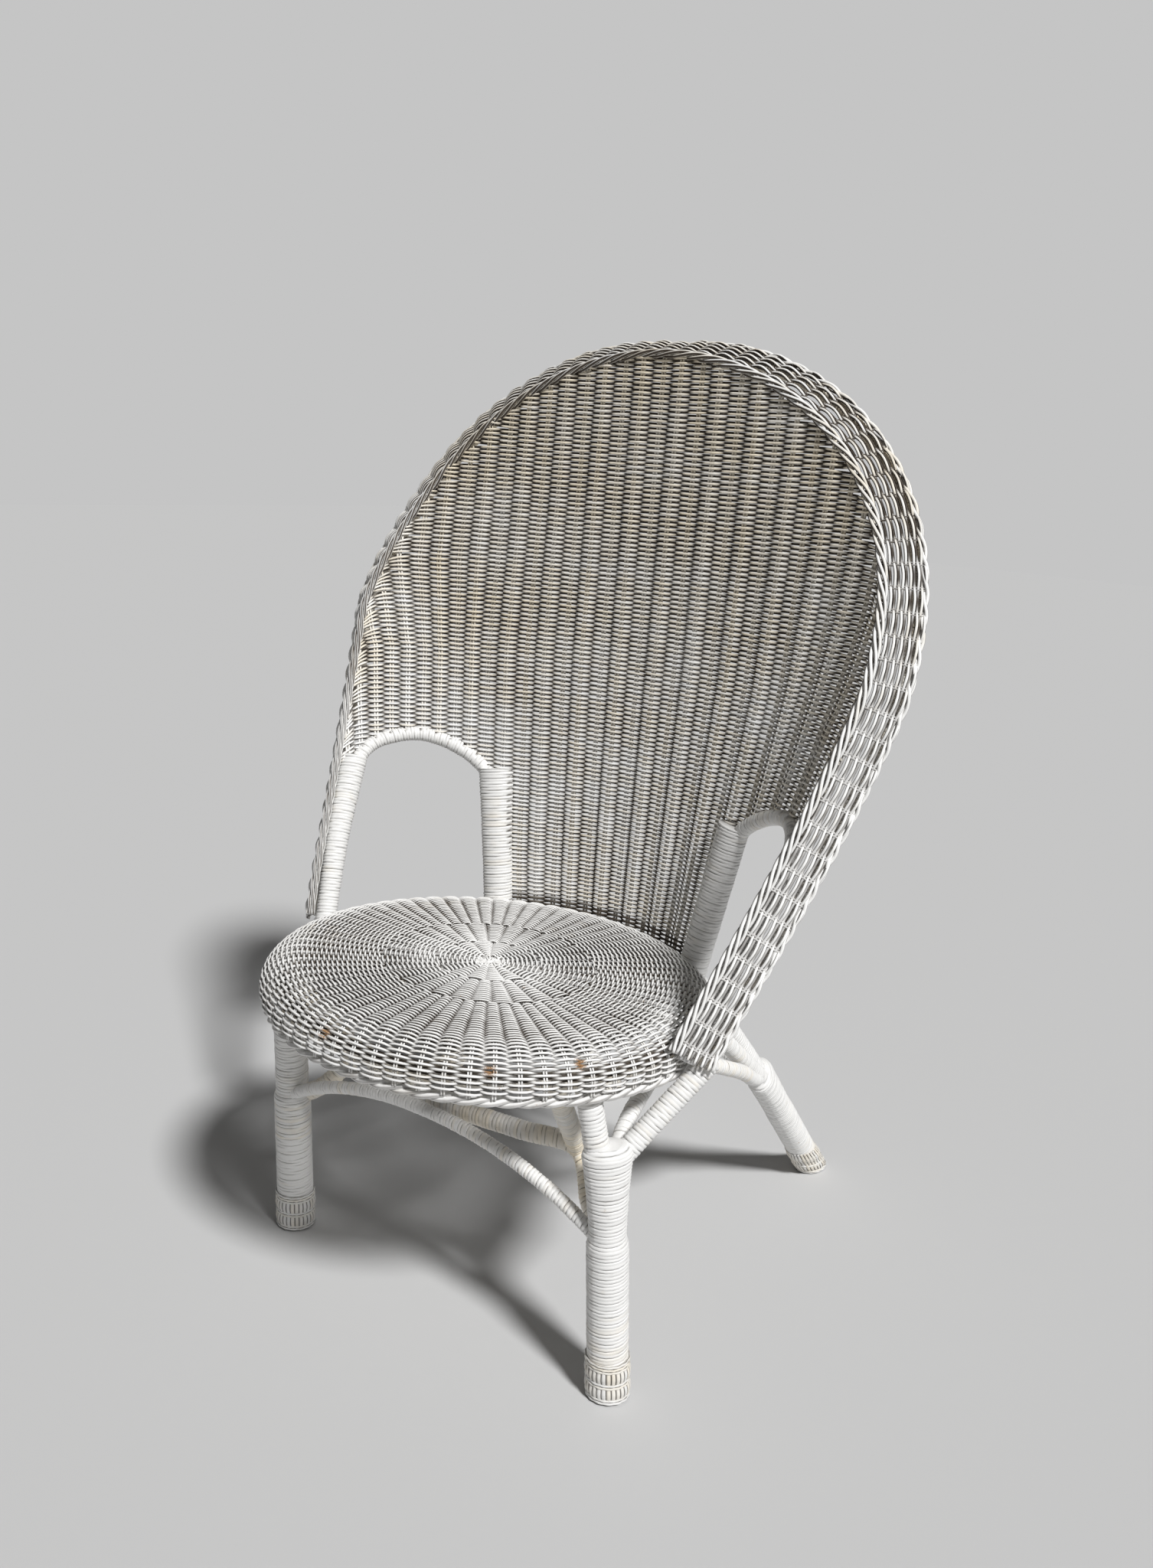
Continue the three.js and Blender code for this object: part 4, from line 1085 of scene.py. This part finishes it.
class WICKER_OT_arms(bpy.types.Operator):
    """Wind the arm posts and the arches over the arm openings, with notches where the weave is tied on"""

    bl_idname = "wicker.arms"
    bl_label = "Arm posts and arches"

    def execute(self, context):
        pitch = context.scene.wicker_cane.post_pitch
        rear = on_back(REAR_POST_ANGLE, np.array([SEAT_BOTTOM_Z, 548.0]))
        levels = np.array([RIM_END_Z, 459.0, 523.0, 556.0])
        front = on_back(front_post_angle(levels) - 1 / depth_axis(levels), levels, 2.0)
        front[0, 2] = SEAT_BOTTOM_Z + 12.6
        arch = on_back(arch_angle(ARCH_SHARES), CROWN_Z - ARCH_DROPS)
        outside = on_back(arch_angle(0.5), 490.0, 42.0)
        behind = np.cross([0, 0, 1], back_normal(REAR_POST_ANGLE, 450.0))
        seed = 200
        for side, sign in SIDES:
            seed += 20
            centre = outside * sign
            flat = (behind * sign, post_width)
            nodes = [f"arm_rear_post_{side}", f"arm_rear_post_winding_{side}"]
            wind(
                f"arm_rear_post_cane_{side}", nodes, "pole_paint", rear * sign, REAR_POST_RADIUS, pitch, seed,
                flat, steps=20, seam=(centre, 2),
            )
            girth = post_girth(FRONT_POST_FLARE if side == "left" else 0.0)
            nodes = [f"arm_front_post_{side}"]
            wind(
                f"arm_front_post_cane_{side}", nodes, "pole_paint", front * sign, girth, pitch, seed + 6,
                steps=18,
            )
            nodes = [f"arm_arch_{side}"]
            wind(
                f"arm_arch_cane_{side}", nodes, "pole_paint", arch * sign, ARM_ARCH_RADIUS, pitch, seed + 12,
                seam=(centre, 5),
            )
        return {"FINISHED"}


class WICKER_OT_struts(bpy.types.Operator):
    """Wind the struts and arched braces under the seat, its hoop and its rails"""

    bl_idname = "wicker.struts"
    bl_label = "Struts and braces"

    def execute(self, context):
        pitch = context.scene.wicker_cane.pole_pitch
        s = np.linspace(-1, 1, 9)
        rise = 1 - np.abs(s) ** 2.2
        front_end = between(FRONT_FOOT, FRONT_CROTCH, FRONT_BRACE_Z) + [0, -7.7, 0]
        front_y = front_end[1] - 5
        front_arch = np.stack([front_end[0] * s, front_y + 5 * s ** 2, FRONT_BRACE_Z + 62 * rise], -1)
        inner_y = front_y + 19.2
        inner_end = between(FRONT_FOOT, FRONT_CROTCH, INNER_BRACE_Z) + [0, 8.8, 0]
        half = np.array([
            inner_end,
            [inner_end[0] - 36, inner_y + 12, 198],
            [inner_end[0] - 72, inner_y + 34, 240],
            [inner_end[0] * 0.42, inner_y + 12, 248],
        ])
        inner_arch = np.concatenate([half, [[0, inner_y, 248]], half[::-1] * MIRROR])
        back_end = between(BACK_FOOT, BACK_CROTCH, BACK_BRACE_Z)
        back_y = back_end[1] - 34 * (1 - s ** 2)
        back_arch = np.stack([back_end[0] * s, back_y, back_end[2] + 58 * rise], -1)
        post_foot = on_back(REAR_POST_ANGLE, SEAT_BOTTOM_Z)
        side_front = between(FRONT_FOOT, FRONT_CROTCH, 258.0)
        side_back = between(BACK_FOOT, BACK_CROTCH, 200.0)
        side_arch = np.array([
            side_front,
            side_front + [-20, 70, 38],
            side_front + [-34, 160, 52],
            [side_back[0] + 26, side_back[1] - 120, 260],
            [side_back[0] + 12, side_back[1] - 45, 218],
            side_back,
        ])
        arm_foot = FRONT_CROTCH + [4, 8, -14]
        arm_head = rim_hoop_end() + [-6, -4, -14]
        arm_head = arm_head + unit(arm_head - arm_foot) * 22
        reach = SEAT_HOOP_WIDTH * SEAT_SQUASH * np.sqrt(1 - (RAIL_X / SEAT_HOOP_WIDTH) ** 2)
        rail = np.array([[RAIL_X, -reach, SEAT_HOOP_Z], [RAIL_X, reach, SEAT_HOOP_Z]])
        hoop = np.array([hoop_point(degrees) for degrees in np.arange(-90, 271, 6)])
        back_start = BACK_CROTCH + 0.05 * (BACK_FOOT - BACK_CROTCH)
        singles = (
            ("front_arch", front_arch, 7.2, 1.0, "pole_paint"),
            ("inner_arch", inner_arch, 10.2, 1.0, "shaded_paint"),
            ("back_arch", back_arch, 7.7, 1.0, "pole_paint"),
            ("seat_hoop", hoop, 8.6, 1.2, "shaded_paint"),
        )
        for number, (name, points, radius, stretch, paint) in enumerate(singles):
            wind(f"{name}_cane", [name], paint, points, radius, pitch * stretch, 400 + number * 10)
        pairs = (
            ("arm_strut", [arm_foot, arm_head], 11.7, "pole_paint"),
            ("front_strut", [FRONT_CROTCH + [-5, -5, -14], hoop_point(-27)], 12.7, "pole_paint"),
            ("inner_strut", [half[2], hoop_point(-36)], 10.7, "shaded_paint"),
            ("back_pole", [back_start, post_foot + [9, 9, 4]], 12.7, "pole_paint"),
            ("back_fork_strut", [BACK_CROTCH + [5, -4, -2], hoop_point(34)], 10.7, "pole_paint"),
            ("side_arch", side_arch, 8.7, "pole_paint"),
            ("seat_rail", rail, 8.6, "shaded_paint"),
        )
        for number, (name, points, radius, paint) in enumerate(pairs):
            for side, sign in SIDES:
                seed = 440 + number * 20 + (8 if side == "left" else 0)
                node = f"{name}_{side}"
                wind(f"{node}_cane", [node], paint, np.asarray(points) * sign, radius, pitch, seed)
        return {"FINISHED"}


# Stage


class WICKER_OT_stage(bpy.types.Operator):
    """Set up the pale floor, the soft light and the camera"""

    bl_idname = "wicker.stage"
    bl_label = "Floor, light and camera"

    def execute(self, context):
        stage = context.scene.wicker_stage
        self.floor(stage)
        self.light(context, stage)
        self.camera(context)
        context.scene.view_settings.view_transform = "Standard"
        return {"FINISHED"}

    @staticmethod
    def floor(stage):
        mesh = bpy.data.meshes.new("floor")
        reach = 12.0
        corners = [(-reach, -reach, 0), (reach, -reach, 0), (reach, reach, 0), (-reach, reach, 0)]
        mesh.from_pydata(corners, [], [(0, 1, 2, 3)])
        material = bpy.data.materials.new("floor_paint")
        material.use_nodes = True
        shader = material.node_tree.nodes["Principled BSDF"]
        shader.inputs["Base Color"].default_value = (*stage.floor, 1.0)
        shader.inputs["Roughness"].default_value = 0.9
        shader.inputs["Specular IOR Level"].default_value = 0.0
        mesh.materials.append(material)
        floor = bpy.data.objects.new("floor", mesh)
        bpy.context.scene.collection.objects.link(floor)

    @staticmethod
    def light(context, stage):
        world = bpy.data.worlds.new("studio")
        context.scene.world = world
        world.use_nodes = True
        tree = world.node_tree
        tree.nodes.clear()
        start = Shade(tree)
        seen = start.add("ShaderNodeLightPath", {}, {}, "Is Camera Ray")
        sky = start.add("ShaderNodeBackground", {}, {"Color": (1.0, 0.99, 0.97, 1.0), "Strength": stage.sky})
        drop = start.add("ShaderNodeBackground", {}, {"Color": (*stage.backdrop, 1.0), "Strength": 1.0})
        both = start.add("ShaderNodeMixShader", {}, {0: seen, 1: sky, 2: drop})
        start.add("ShaderNodeOutputWorld", {}, {"Surface": both})
        for name, strength, spread, toward in (
            ("key", stage.key, 9, KEY_TOWARD),
            ("rear", stage.rear, 120, REAR_TOWARD),
        ):
            data = bpy.data.lights.new(name, "SUN")
            data.energy = strength
            data.angle = np.radians(spread)
            lamp = bpy.data.objects.new(name, data)
            lamp.matrix_world = looking(toward, np.array(toward) * 3)
            context.scene.collection.objects.link(lamp)

    @staticmethod
    def camera(context):
        data = bpy.data.cameras.new("camera")
        data.lens = SENSOR * CAMERA_FOCUS / CAMERA_HEIGHT
        data.sensor_width = SENSOR
        camera = bpy.data.objects.new("camera", data)
        az, el, roll = np.radians(CAMERA_ANGLES)
        back = np.array([np.sin(az) * np.cos(el), -np.cos(az) * np.cos(el), np.sin(el)])
        camera.matrix_world = looking(back, CAMERA_PLACE, roll)
        context.scene.collection.objects.link(camera)
        context.scene.camera = camera


def looking(back, place, roll=0.0):
    """The matrix of a lamp or camera at a place, turned so that back points away from what it looks at."""
    back = unit(np.asarray(back, float))
    right = unit(np.cross([0, 0, 1], back))
    up = np.cross(back, right)
    x = right * np.cos(roll) + up * np.sin(roll)
    y = up * np.cos(roll) - right * np.sin(roll)
    matrix = np.eye(4)
    matrix[:3, :4] = np.stack([x, y, back, np.asarray(place, float)], -1)
    return Matrix(matrix.tolist())


OPERATORS = (
    WICKER_OT_stage,
    WICKER_OT_back,
    WICKER_OT_seat,
    WICKER_OT_border,
    WICKER_OT_rim,
    WICKER_OT_legs,
    WICKER_OT_feet,
    WICKER_OT_arms,
    WICKER_OT_struts,
)

SETTINGS = {
    "wicker_weave": WickerWeave,
    "wicker_cane": WickerCane,
    "wicker_paint": WickerPaint,
    "wicker_stage": WickerStage,
}


class WICKER_PT_panel(bpy.types.Panel):
    """The chair's pieces and their settings in the sidebar"""

    bl_label = "Wicker chair"
    bl_idname = "WICKER_PT_panel"
    bl_space_type = "VIEW_3D"
    bl_region_type = "UI"
    bl_category = "Wicker"

    def draw(self, context):
        for operator in OPERATORS:
            self.layout.operator(operator.bl_idname)
        for name, group in SETTINGS.items():
            box = self.layout.box()
            for label in group.__annotations__:
                box.prop(getattr(context.scene, name), label)


CLASSES = (*SETTINGS.values(), *OPERATORS, WICKER_PT_panel)


def register():
    for item in CLASSES:
        bpy.utils.register_class(item)
    for name, group in SETTINGS.items():
        setattr(bpy.types.Scene, name, bpy.props.PointerProperty(type=group))


def unregister():
    for name in SETTINGS:
        delattr(bpy.types.Scene, name)
    for item in reversed(CLASSES):
        bpy.utils.unregister_class(item)


def main():
    register()
    for operator in OPERATORS:
        group, name = operator.bl_idname.split(".")
        getattr(getattr(bpy.ops, group), name)()


if __name__ == "__main__":
    main()
